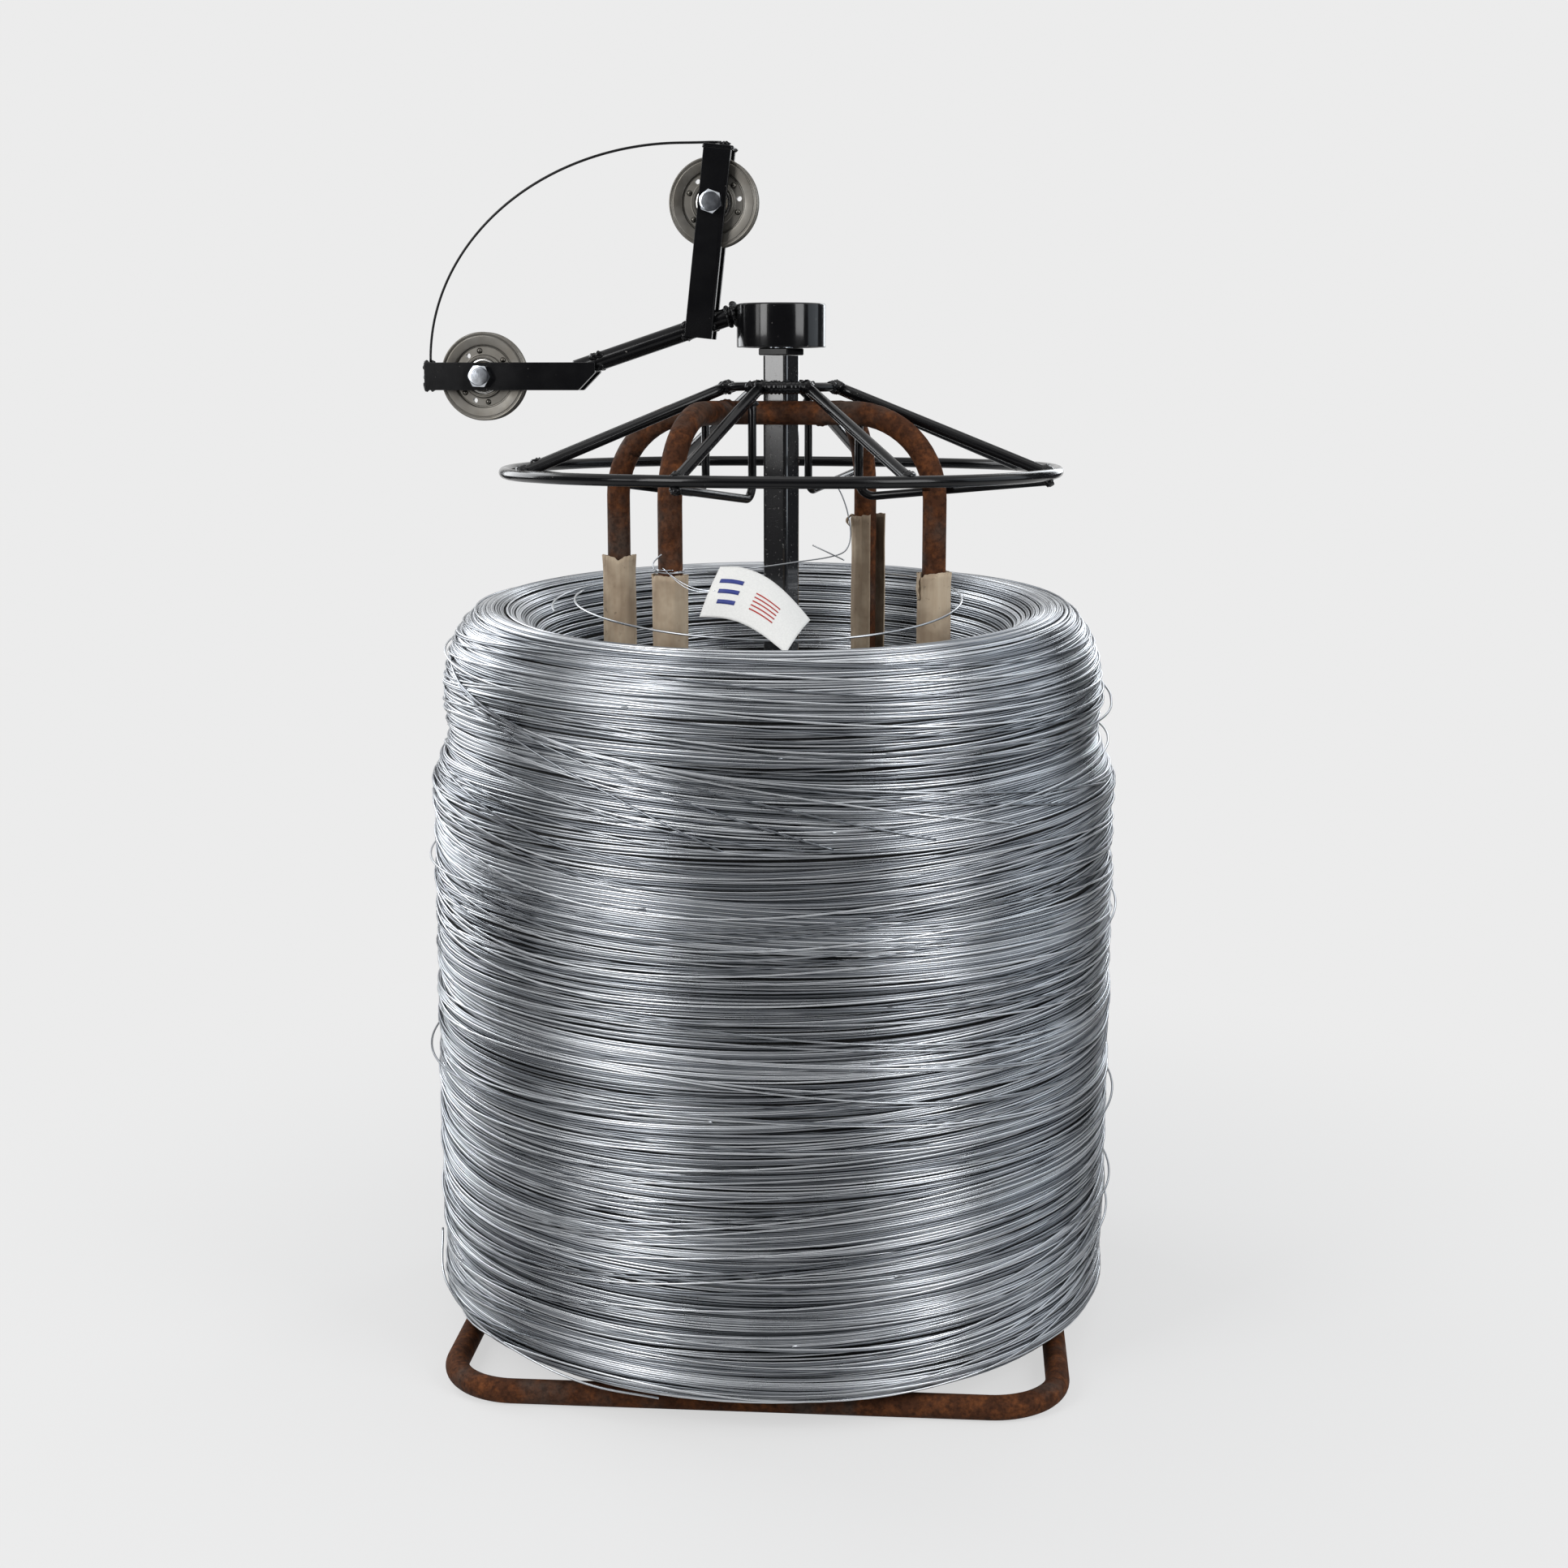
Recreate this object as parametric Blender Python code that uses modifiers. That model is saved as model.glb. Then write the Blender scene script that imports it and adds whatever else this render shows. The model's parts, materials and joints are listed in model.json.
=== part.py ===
"""Fence wire spinner standing in the tubular carrier of a coil of fence wire.

A rusty tubular carrier holds a coil of galvanised wire. A square mast stands inside it,
against the crossing of the hoops, and carries a cone of guard rods and a spindle. On two
sealed bearings round the spindle turns the flyer: a hub, a sloping arm and two forks with
V-groove pulleys, which lay the wire off the top of the coil.

Metres, +Z up. The origin is on the floor at the axis of the coil and the front is -Y.
Azimuths are in degrees from +X towards +Y.
"""

import math

import bmesh
import bpy
from mathutils import Matrix, Vector

FIT = 0.0003  # clearance between pieces that touch
COPE_STOP = 0.45  # a coped end stops this share of its radius short of the centre line

# Carrier of bent tube
TUBE_D = 0.0267
TUBE_SIDES = 12
BASE_SIDE = 0.690  # outer side of the rounded square on the floor
BASE_CORNER = 0.075  # bend radius of its centre line
BASE_TURN = -4.4
LEG_R = 0.188  # distance of every leg from the coil's axis
HOOP_Z = 1.050  # height of the hoops' centre line
HOOP_BEND = 0.095
FOOT_BEND = 0.060
THROUGH_AZIMUTH = -16.0  # the hoop that runs through, by its front leg
HALF_LEG_AZIMUTH = 54.0  # the rear half hoop's leg; the front one is opposite
HALF_HOOP_AZIMUTH = 70.0  # the upright plane that a half hoop lies in

# Card sleeves on the legs
SLEEVE_D = 0.038
SLEEVE_WALL = 0.0015
SLEEVE_OPEN = 60.0  # angle left open
SLEEVE_FOOT = 0.080
SLEEVE_TOPS = {"front_left": 0.881, "front_right": 0.875, "rear_left": 0.886, "rear_right": 0.928}
SLEEVE_MOUTHS = {"front_left": 100.0, "front_right": 80.0, "rear_left": 95.0, "rear_right": -40.0}

# Coil of wire
PACK_R = 0.393
BORE_R = 0.255
SHOULDER = 0.068  # from the side in to the crest
CREST_R = PACK_R - SHOULDER
CREST_Z = 0.836
CAP_Z = 0.733  # where the upper heap is widest
CAP_IN = 0.015  # it stands this far in from the side
CAP_R = PACK_R - CAP_IN
WAIST_Z = 0.695  # the pinch under the upper heap
WAIST_IN = 0.0215
SIDE_TOP = 0.655  # where the side begins to lean in to the waist
BUNDLES = 13  # heaps of turns up the side, with a furrow between each two
FURROW_DEPTH = 0.004
FURROW_SHARE = 0.35  # of a heap's height, from the furrow's bottom up to the side
PACK_FOOT = 0.025  # rounding of the lower edges
LIP = 0.070  # height of the rounded inner lip
LEAN = 0.0185  # the crest is this much lower at the front and higher at the back
PACK_SEGMENTS = 40
WIRE_D = 0.0025
LOOPS = 12
LOOP_POINTS = 24
LAY_GAP = 0.0005  # from the loops to the pack under them
WANDER = 0.3  # of the pitch
LOOP_TILT = 0.006

# Card tag in the mouth of the coil
TAG_LENGTH = 0.100
TAG_WIDTH = 0.057
TAG_THICKNESS = 0.0005
TAG_CURL = 0.020
TAG_X = 0.008
TAG_ALONG = Vector((-0.89, 0.30, 0.34))
TAG_ACROSS = Vector((0.42, 0.83, 0.36))

# Mast and cone guard
MAST_SIDE = 0.03175
MAST_WALL = 0.0032
MAST_CORNER = 0.004
MAST_TURN = -31.0
MAST_TOP = 1.114
COLLAR_SIDE = 0.0381
COLLAR_HEIGHT = 0.008
THIN_ROD = 0.0095
THICK_ROD = 0.0127
ROD_SIDES = 8
TOP_RING_R = 0.067
TOP_RING_Z = 1.079
GUARD_R = 0.317
GUARD_Z = 0.984
RIB_COUNT = 8
RIB_AZIMUTH = -20.0
BRACE_R = 0.094  # radius of the braces' posts
BRACE_Z = 0.955
BRACE_BEND = 0.018
BRACE_END_DROP = 0.007  # the foot meets the guard ring this far below its middle

# Spindle and hub
SPINDLE_R = 0.010
SHOULDER_R = 0.013
SHOULDER_HEIGHT = 0.0033
BEARING_R = 0.021
BEARING_WIDTH = 0.012
WASHER_R = 0.016
WASHER_HEIGHT = 0.002
SPINDLE_NUT_AF = 0.030
SPINDLE_NUT_HEIGHT = 0.010
SPINDLE_END = 0.001  # thread above the nut
LID_GAP = 0.0015
HUB_D = 0.1016
HUB_WALL = 0.00635
HUB_HEIGHT = 0.049
HUB_ROUND = 0.003
HOUSING_LIP = 0.0025  # lip that sits on the outer race
HUB_SEGMENTS = 32

# Flyer
FLYER_AZIMUTH = 172.0
ARM_D = 0.0213
ARM_ROOT = 0.011  # the arm's middle below the top of the hub
ARM_SLOPE = 18.2
ARM_END = 0.240
BAR_WIDTH = 0.03175
BAR_THICKNESS = 0.00635
FORK_START = 0.214
FORK_DROP = 0.0165  # the fork's middle below the arm's at its start
FORK_CHAMFER = 0.020
OUTER_PULLEY_L = 0.349
TIP_CLEARANCE = 0.01085  # from the outer pulley to the fork's end piece
UPRIGHT_L = 0.0935
UPRIGHT_BELOW = 0.013  # the upright's foot below the arm's middle
UPRIGHT_LEAN = 6.4
UPPER_PULLEY_AT = 0.151  # up the upright from its foot
CAP_CLEARANCE = 0.0082  # from the upper pulley to the upright's cap
CAP_THICKNESS = 0.004
BOW_D = 0.003
BOW_CENTRE_L = 0.116
BOW_END_L = 0.070

# Pulleys and their bolts
PULLEY_R = 0.0508
PULLEY_WIDTH = 0.016
GROOVE_R = 0.040
RIM_LIP = 0.0023
WEB = 0.006
WEB_R = 0.0375
BOSS_R = 0.0245
BOSS_WIDTH = 0.014
PULLEY_BEARING_R = 0.020
PULLEY_BEARING_WIDTH = 0.012
PULLEY_HOLES_R = 0.0297
PULLEY_HOLE_D = 0.006
PULLEY_SEGMENTS = 32
BOLT_D = 0.0159
BOLT_AF = 0.0238
BOLT_HEAD = 0.0099
BOLT_NUT = 0.0130
BOLT_END = 0.003  # thread beyond the nut
SPACER_R = 0.012

TUBE_R = TUBE_D / 2
TUBE_FLAT = TUBE_R * math.cos(math.pi / TUBE_SIDES)  # from the middle to a facet
FOOT_Z = TUBE_R
PACK_Z = FOOT_Z + TUBE_R + FIT
ARM_R = ARM_D / 2
HUB_R = HUB_D / 2
BOLT_R = BOLT_D / 2
FORK_TIP = OUTER_PULLEY_L + PULLEY_R + TIP_CLEARANCE + BAR_THICKNESS
UPRIGHT_LENGTH = UPPER_PULLEY_AT + PULLEY_R + CAP_CLEARANCE
FORK_GAP = ARM_D + 2 * FIT
BAR_MIDDLE = (FORK_GAP + BAR_THICKNESS) / 2
COLLAR_TOP = MAST_TOP + FIT + COLLAR_HEIGHT
SHOULDER_Z = COLLAR_TOP + FIT + SHOULDER_HEIGHT
LOWER_BEARING_Z = SHOULDER_Z + FIT
UPPER_BEARING_Z = LOWER_BEARING_Z + BEARING_WIDTH + FIT
WASHER_Z = UPPER_BEARING_Z + BEARING_WIDTH + FIT
SPINDLE_NUT_Z = WASHER_Z + WASHER_HEIGHT + FIT
SPINDLE_TOP = SPINDLE_NUT_Z + SPINDLE_NUT_HEIGHT + SPINDLE_END
HUB_TOP = SPINDLE_TOP + LID_GAP + HUB_WALL


def clear_scene():
    for old in list(bpy.data.objects):
        bpy.data.objects.remove(old)


def new_collection(name):
    made = bpy.data.collections.new(name)
    bpy.context.scene.collection.children.link(made)
    return made


clear_scene()
PARTS = new_collection("fence_wire_spinner")
CUTTERS = new_collection("cutters")


def material(name, colour, roughness, metallic):
    made = bpy.data.materials.new(name)
    made.use_nodes = True
    shader = made.node_tree.nodes["Principled BSDF"]
    shader.inputs["Base Color"].default_value = (*colour, 1)
    shader.inputs["Roughness"].default_value = roughness
    shader.inputs["Metallic"].default_value = metallic
    return made


RUST = material("rusty_tube", (0.19, 0.085, 0.045), 0.75, 0.3)
KRAFT = material("kraft_card", (0.48, 0.34, 0.20), 0.9, 0.0)
ZINC_WIRE = material("galvanised_wire", (0.55, 0.57, 0.60), 0.35, 1.0)
CARD = material("white_card", (0.85, 0.85, 0.83), 0.7, 0.0)
BLACK = material("black_paint", (0.012, 0.012, 0.013), 0.22, 0.0)
PULLEY_STEEL = material("satin_steel", (0.46, 0.44, 0.41), 0.35, 1.0)
BOLT_ZINC = material("zinc_bolt", (0.58, 0.60, 0.64), 0.3, 1.0)
BEARING_STEEL = material("bearing_steel", (0.50, 0.50, 0.50), 0.25, 1.0)


def add(name, data, paint=None, parent=None, location=(0, 0, 0), rotation=(0, 0, 0)):
    """An object in its collection; without a paint it is a cutter."""
    made = bpy.data.objects.new(name, data)
    made.parent = parent
    made.location = location
    made.rotation_euler = [math.radians(angle) for angle in rotation]
    if paint is None:
        CUTTERS.objects.link(made)
        made.hide_render = True
        made.display_type = "WIRE"
    else:
        PARTS.objects.link(made)
        data.materials.append(paint)
    return made


def axis_empty(name, parent=None, location=(0, 0, 0), rotation=(0, 0, 0)):
    made = bpy.data.objects.new(name, None)
    PARTS.objects.link(made)
    made.parent = parent
    made.location = location
    made.rotation_euler = [math.radians(angle) for angle in rotation]
    return made


def heading(azimuth):
    angle = math.radians(azimuth)
    return Vector((math.cos(angle), math.sin(angle), 0))


def bent(corners, radius, steps, closed=False):
    """A run of straights with every inner corner bent to a radius."""
    points = []
    last = len(corners) - 1
    radii = radius if isinstance(radius, (list, tuple)) else [radius] * len(corners)
    for i, corner in enumerate(corners):
        if not closed and i in (0, last):
            points.append(corner)
            continue
        before = (corners[i - 1] - corner).normalized()
        after = (corners[(i + 1) % len(corners)] - corner).normalized()
        half = before.angle(after) / 2
        middle = corner + (before + after).normalized() * radii[i] / math.sin(half)
        spoke = corner + before * radii[i] / math.tan(half) - middle
        turn = (-after).cross(before).normalized()
        for k in range(steps + 1):
            angle = (math.pi - 2 * half) * k / steps
            points.append(middle + Matrix.Rotation(-angle, 3, turn) @ spoke)
    return points


def arc(centre, a, b, start, end, steps):
    """Points of an ellipse's arc in a section, from one angle to another."""
    angles = [math.radians(start + (end - start) * k / steps) for k in range(steps + 1)]
    return [(centre[0] + a * math.cos(t), centre[1] + b * math.sin(t)) for t in angles]


def circle(radius, count, centre=(0, 0)):
    return arc(centre, radius, radius, 0, 360 * (count - 1) / count, count - 1)


def round_hole(radius, count, centre=(0, 0)):
    """A faceted hole whose facets, not its corners, lie at the radius."""
    return circle(radius / math.cos(math.pi / count), count, centre)


def rounded_square(side, corner, steps=3):
    points = []
    for k in range(4):
        middle = Vector((side / 2 - corner, side / 2 - corner, 0))
        middle = Matrix.Rotation(math.radians(90 * k), 3, "Z") @ middle
        points += arc(middle, corner, corner, 90 * k, 90 * (k + 1), steps)
    return points


def tube(name, points, diameter, sides, paint=None, closed=False, flat_down=False, **spot):
    """A round bar or tube along a path."""
    curve = bpy.data.curves.new(name, "CURVE")
    curve.dimensions = "3D"
    curve.twist_mode = "Z_UP" if flat_down else "MINIMUM"
    curve.bevel_depth = diameter / 2
    curve.bevel_resolution = sides // 2 - 2
    curve.use_fill_caps = not closed
    spline = curve.splines.new("POLY")
    spline.points.add(len(points) - 1)
    for node, point in zip(spline.points, points):
        node.co = (*point, 1)
        node.tilt = math.pi / sides if flat_down else 0
    spline.use_cyclic_u = closed
    return add(name, curve, paint, **spot)


def plate(name, outlines, thickness, paint=None, **spot):
    """A flat piece: the first outline is its edge, and the others are holes."""
    curve = bpy.data.curves.new(name, "CURVE")
    curve.dimensions = "2D"
    curve.fill_mode = "BOTH"
    curve.extrude = thickness / 2
    for outline in outlines:
        spline = curve.splines.new("POLY")
        spline.points.add(len(outline) - 1)
        for node, point in zip(spline.points, outline):
            node.co = (point[0], point[1], 0, 1)
        spline.use_cyclic_u = True
    return add(name, curve, paint, **spot)


def turned(name, profile, segments, paint=None, closed=True, **spot):
    """A turned piece: the profile of (radius, height) runs down its outer side."""
    last = len(profile) - 1
    edges = [(i, i + 1) for i in range(last)]
    if closed:
        edges.append((last, 0))
    mesh = bpy.data.meshes.new(name)
    mesh.from_pydata([(r, 0, z) for r, z in profile], edges, [])
    made = add(name, mesh, paint, **spot)
    screw = made.modifiers.new("turn", "SCREW")
    screw.axis = "Z"
    screw.angle = 2 * math.pi
    screw.steps = segments
    screw.render_steps = segments
    screw.use_merge_vertices = True
    screw.merge_threshold = 0.00001
    screw.use_smooth_shade = True
    return made


def box(name, size, paint, edge=0.0005, **spot):
    mesh = bpy.data.meshes.new(name)
    cage = bmesh.new()
    bmesh.ops.create_cube(cage, size=1, matrix=Matrix.Diagonal((*size, 1)))
    cage.to_mesh(mesh)
    cage.free()
    made = add(name, mesh, paint, **spot)
    bevel = made.modifiers.new("edges", "BEVEL")
    bevel.width = edge
    bevel.segments = 1
    return made


def cylinder(name, radius, length, sides, paint=None, **spot):
    """A bar about its own Z axis, its middle at its origin."""
    mesh = bpy.data.meshes.new(name)
    cage = bmesh.new()
    bmesh.ops.create_cone(
        cage, cap_ends=True, segments=sides, radius1=radius, radius2=radius, depth=length
    )
    cage.to_mesh(mesh)
    cage.free()
    return add(name, mesh, paint, **spot)


def rod_ring(name, radius, rod, height, segments, paint=None, parent=None, turn=0.0):
    bpy.ops.mesh.primitive_torus_add(
        major_radius=radius, minor_radius=rod / 2, major_segments=segments, minor_segments=ROD_SIDES
    )
    primitive = bpy.context.object
    mesh = primitive.data
    bpy.data.objects.remove(primitive)
    return add(name, mesh, paint, parent=parent, location=(0, 0, height), rotation=(0, 0, turn))


def as_mesh(rough):
    """The same piece as a closed mesh, its caps welded, ready to be cut."""
    bpy.context.view_layer.update()
    shape = rough.evaluated_get(bpy.context.evaluated_depsgraph_get())
    mesh = bpy.data.meshes.new_from_object(shape)
    cage = bmesh.new()
    cage.from_mesh(mesh)
    bmesh.ops.remove_doubles(cage, verts=cage.verts, dist=0.00001)
    cage.to_mesh(mesh)
    cage.free()
    mesh.shade_smooth()
    mesh.set_sharp_from_angle(angle=math.radians(40))
    name, parent, place = rough.name, rough.parent, rough.matrix_basis.copy()
    paint = mesh.materials[0] if mesh.materials else None
    bpy.data.objects.remove(rough)
    mesh.materials.clear()
    made = add(name, mesh, paint, parent=parent)
    made.matrix_basis = place
    return made


def boolean(piece, operation, *others):
    for other in others:
        step = piece.modifiers.new(other.name, "BOOLEAN")
        step.operation = operation
        step.object = other
        step.solver = "EXACT"
    return piece


def stop_short(end, towards, radius):
    """The last point of a coped tube, just short of the centre line that it meets."""
    return end + (towards - end).normalized() * radius * COPE_STOP


def base_ring_path():
    half = BASE_SIDE / 2 - TUBE_R
    turn = Matrix.Rotation(math.radians(BASE_TURN), 3, "Z")
    signs = ((1, 1), (-1, 1), (-1, -1), (1, -1))
    corners = [turn @ Vector((half * sx, half * sy, TUBE_FLAT)) for sx, sy in signs]
    return bent(corners, BASE_CORNER, 6, closed=True)


def to_base_ring(start, direction):
    """Where a foot that runs out from a leg meets the ring's centre line."""
    half = BASE_SIDE / 2 - TUBE_R
    back = Matrix.Rotation(math.radians(-BASE_TURN), 3, "Z")
    local_start, local_run = back @ start, back @ direction
    reach = min(
        (math.copysign(half, local_run[i]) - local_start[i]) / local_run[i]
        for i in (0, 1) if abs(local_run[i]) > 1e-6
    )
    return start + direction * reach


def at_height(point, height):
    return Vector((point[0], point[1], height))


def foot_end(leg, outward):
    end = at_height(to_base_ring(leg, outward), FOOT_Z)
    return stop_short(end, at_height(leg, FOOT_Z), TUBE_R)


def make_base_ring():
    path = base_ring_path()
    tube("base_ring", path, TUBE_D, TUBE_SIDES, RUST, closed=True, flat_down=True)
    inflated = tube(
        "base_ring_cope", path, TUBE_D + 2 * FIT, TUBE_SIDES, closed=True, flat_down=True
    )
    return as_mesh(inflated)


def make_through_hoop(ring_cutter):
    run = heading(THROUGH_AZIMUTH)
    front, rear = run * LEG_R, run * -LEG_R
    corners = [
        foot_end(rear, -run), at_height(rear, FOOT_Z), at_height(rear, HOOP_Z),
        at_height(front, HOOP_Z), at_height(front, FOOT_Z), foot_end(front, run),
    ]
    path = bent(corners, [0, FOOT_BEND, HOOP_BEND, HOOP_BEND, FOOT_BEND, 0], 6)
    hoop = as_mesh(tube("hoop_through", path, TUBE_D, TUBE_SIDES, RUST))
    boolean(hoop, "DIFFERENCE", ring_cutter)
    half = LEG_R - HOOP_BEND
    ends = [at_height(run * -half, HOOP_Z), at_height(run * half, HOOP_Z)]
    return as_mesh(tube("hoop_cope", ends, TUBE_D + 2 * FIT, TUBE_SIDES))


def make_half_hoop(name, leg, inward, ring_cutter, hoop_cutter):
    through = heading(THROUGH_AZIMUTH)
    normal = Vector((-through.y, through.x, 0))
    crossing = leg - inward * leg.dot(normal) / inward.dot(normal)
    top_end = stop_short(at_height(crossing, HOOP_Z), at_height(leg, HOOP_Z), TUBE_R)
    corners = [
        top_end, at_height(leg, HOOP_Z), at_height(leg, FOOT_Z), foot_end(leg, -inward)
    ]
    path = bent(corners, [0, HOOP_BEND, FOOT_BEND, 0], 6)
    hoop = as_mesh(tube(name, path, TUBE_D, TUBE_SIDES, RUST))
    boolean(hoop, "DIFFERENCE", ring_cutter, hoop_cutter)


def leg_places():
    through, half = heading(THROUGH_AZIMUTH) * LEG_R, heading(HALF_LEG_AZIMUTH) * LEG_R
    return {
        "front_left": -half, "front_right": through, "rear_left": -through, "rear_right": half
    }


def make_sleeve(corner, leg):
    """A split card tube round a leg, its back against the leg."""
    steps = 14
    outer = SLEEVE_D / 2
    inner = outer - SLEEVE_WALL
    edge = SLEEVE_OPEN / 2
    outline = arc((0, 0), outer, outer, edge, 360 - edge, steps)
    outline += arc((0, 0), inner, inner, 360 - edge, edge, steps)
    facet = math.radians((360 - SLEEVE_OPEN) / steps / 2)
    shift = inner * math.cos(facet) - TUBE_R - FIT
    mouth = SLEEVE_MOUTHS[corner]
    top = SLEEVE_TOPS[corner]
    centre = at_height(leg + heading(mouth) * shift, (SLEEVE_FOOT + top) / 2)
    plate(
        f"leg_sleeve_{corner}", [outline], top - SLEEVE_FOOT, KRAFT,
        location=centre, rotation=(0, 0, mouth),
    )


def make_carrier():
    ring_cutter = make_base_ring()
    hoop_cutter = make_through_hoop(ring_cutter)
    legs = leg_places()
    inward = heading(HALF_HOOP_AZIMUTH)
    make_half_hoop("hoop_half_front", legs["front_left"], inward, ring_cutter, hoop_cutter)
    make_half_hoop("hoop_half_rear", legs["rear_right"], -inward, ring_cutter, hoop_cutter)
    for corner, leg in legs.items():
        make_sleeve(corner, leg)


def pack_section(steps):
    """Face of the coil in section, from its lower outer edge over the crest to its bore."""
    edge = PACK_R - PACK_FOOT
    foot = arc((edge, PACK_Z + PACK_FOOT), PACK_FOOT, PACK_FOOT, -90, 0, max(2, steps // 2))
    side = [(PACK_R, SIDE_TOP), (PACK_R - WAIST_IN, WAIST_Z)]
    dome = arc((CREST_R, CAP_Z), CAP_R - CREST_R, CREST_Z - CAP_Z, 0, 90, steps)
    lip = arc((CREST_R, CREST_Z - LIP), CREST_R - BORE_R, LIP, 90, 180, steps)
    return foot + side + dome + lip[1:]


def slumped(point):
    """A point of the coil as the coil stands, its top lower at the front."""
    share = (point[2] - PACK_Z) / (CREST_Z - PACK_Z)
    return Vector((point[0], point[1], point[2] + LEAN * point[1] / CREST_R * share))


def furrows():
    """Points of the side in section where the heaps of turns part, from the lowest up."""
    low, high = PACK_Z + PACK_FOOT, SIDE_TOP
    heap = (high - low) / BUNDLES
    points = []
    for k in range(1, BUNDLES):
        bottom = low + heap * (k + 0.2 * math.sin(2.4 * k))
        points += [(PACK_R - FURROW_DEPTH, bottom), (PACK_R, bottom + heap * FURROW_SHARE)]
    return points


def make_wire_pack():
    bore_edge = [(BORE_R, PACK_Z + PACK_FOOT / 2), (BORE_R + PACK_FOOT / 2, PACK_Z)]
    steps = 4
    face = pack_section(steps)
    profile = face[:steps // 2 + 1] + furrows() + face[steps // 2 + 1:] + bore_edge
    pack = as_mesh(turned("wire_pack", profile[::-1], PACK_SEGMENTS, ZINC_WIRE))
    for vertex in pack.data.vertices:
        vertex.co = slumped(vertex.co)


def on_section(section, distance):
    """Point at a distance along a section, and the unit normal that faces outward."""
    for (r0, z0), (r1, z1) in zip(section[:-1], section[1:]):
        length = math.hypot(r1 - r0, z1 - z0)
        if distance <= length or (r1, z1) == section[-1]:
            share = distance / length
            point = (r0 + (r1 - r0) * share, z0 + (z1 - z0) * share)
            return point, ((z1 - z0) / length, -(r1 - r0) / length)
        distance -= length


def winding_points():
    """Loops round the side and shoulder of the pack, bunched and spread as they wander."""
    section = pack_section(24)
    dome_length = (CREST_Z - CAP_Z) * 0.85
    start = PACK_FOOT * 2.2
    stop = PACK_FOOT * math.pi / 2 + (CAP_Z - PACK_Z - PACK_FOOT) + dome_length
    pitch = (stop - start) / (LOOPS + 2 * WANDER)
    stand = WIRE_D / 2 + LAY_GAP
    points = []
    for i in range(LOOPS * LOOP_POINTS + 1):
        turn = i / LOOP_POINTS
        angle = 2 * math.pi * turn
        wander = WANDER * math.sin(2 * math.pi * 0.31 * turn)
        along = start + pitch * (turn + WANDER + wander) + LOOP_TILT * math.sin(angle + 0.8 * turn)
        (r, z), (nr, nz) = on_section(section, along)
        radius = (r + nr * stand) / math.cos(math.pi / LOOP_POINTS)
        flat = (radius * math.cos(angle), radius * math.sin(angle), z + nz * stand)
        points.append(slumped(flat))
    first = points[0] + (points[0] - points[1]).normalized() * WIRE_D
    last = points[-1] + (points[-1] - points[-2]).normalized() * WIRE_D
    return [first] + points + [last]


def least_gap(points, diameter):
    """The least gap of a wound tube to its own other loops, measured on its points."""
    apart = LOOP_POINTS // 2
    return min(
        (points[i] - points[k]).length
        for i in range(len(points)) for k in range(i + apart, len(points))
    ) - diameter


def make_winding():
    points = winding_points()
    print(f"wire_winding: least gap to itself {least_gap(points, WIRE_D) * 1000:.2f} mm")
    tube("wire_winding", points, WIRE_D, 6, ZINC_WIRE)


def make_tag():
    """A bent card that stands on the inner lip of the coil at the front."""
    slope = math.radians(90 / 4)
    seat_r = CREST_R - (CREST_R - BORE_R) * math.sin(slope)
    seat_z = CREST_Z - LIP + LIP * math.cos(slope)
    seat = slumped((TAG_X, -seat_r, seat_z)) + Vector((0, 0, FIT + TAG_THICKNESS))
    along = TAG_ALONG.normalized()
    up = along.cross(TAG_ACROSS).normalized() * -1
    across = along.cross(up).normalized()
    if across.dot(TAG_ACROSS) < 0:
        across.negate()
    mesh = bpy.data.meshes.new("wire_tag")
    cage = bmesh.new()
    bmesh.ops.create_grid(cage, x_segments=6, y_segments=1, size=0.5)
    for vertex in cage.verts:
        s, t = vertex.co.x + 0.5, vertex.co.y + 0.5
        lift = TAG_CURL * s * s
        vertex.co = along * TAG_LENGTH * s + across * TAG_WIDTH * t + up * lift
    cage.to_mesh(mesh)
    cage.free()
    card = add("wire_tag", mesh, CARD, location=seat)
    skin = card.modifiers.new("card", "SOLIDIFY")
    skin.thickness = TAG_THICKNESS
    skin.offset = 0


def mast_reach():
    """How far the mast's section reaches from its axis towards the hoop it stands against."""
    angle = math.radians(THROUGH_AZIMUTH + 90 - MAST_TURN)
    flat = MAST_SIDE / 2 - MAST_CORNER
    return flat * (abs(math.cos(angle)) + abs(math.sin(angle))) + MAST_CORNER


def make_mast(axis):
    inner = rounded_square(MAST_SIDE - 2 * MAST_WALL, max(MAST_CORNER - MAST_WALL, 0.0005), 2)
    plate(
        "mast", [rounded_square(MAST_SIDE, MAST_CORNER), inner], MAST_TOP, BLACK,
        parent=axis, location=(0, 0, MAST_TOP / 2), rotation=(0, 0, MAST_TURN),
    )
    box(
        "mast_collar", (COLLAR_SIDE, COLLAR_SIDE, COLLAR_HEIGHT), BLACK, edge=0.001, parent=axis,
        location=(0, 0, COLLAR_TOP - COLLAR_HEIGHT / 2), rotation=(0, 0, MAST_TURN),
    )


def rib_ends(azimuth):
    out = heading(azimuth)
    return at_height(out * TOP_RING_R, TOP_RING_Z), at_height(out * GUARD_R, GUARD_Z)


def make_rib(name, azimuth, axis, cutters):
    top, foot = rib_ends(azimuth)
    ends = [stop_short(top, foot, THIN_ROD / 2), stop_short(foot, top, THICK_ROD / 2)]
    rib = as_mesh(tube(name, ends, THICK_ROD, ROD_SIDES, BLACK, parent=axis))
    boolean(rib, "DIFFERENCE", *cutters)


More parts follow.
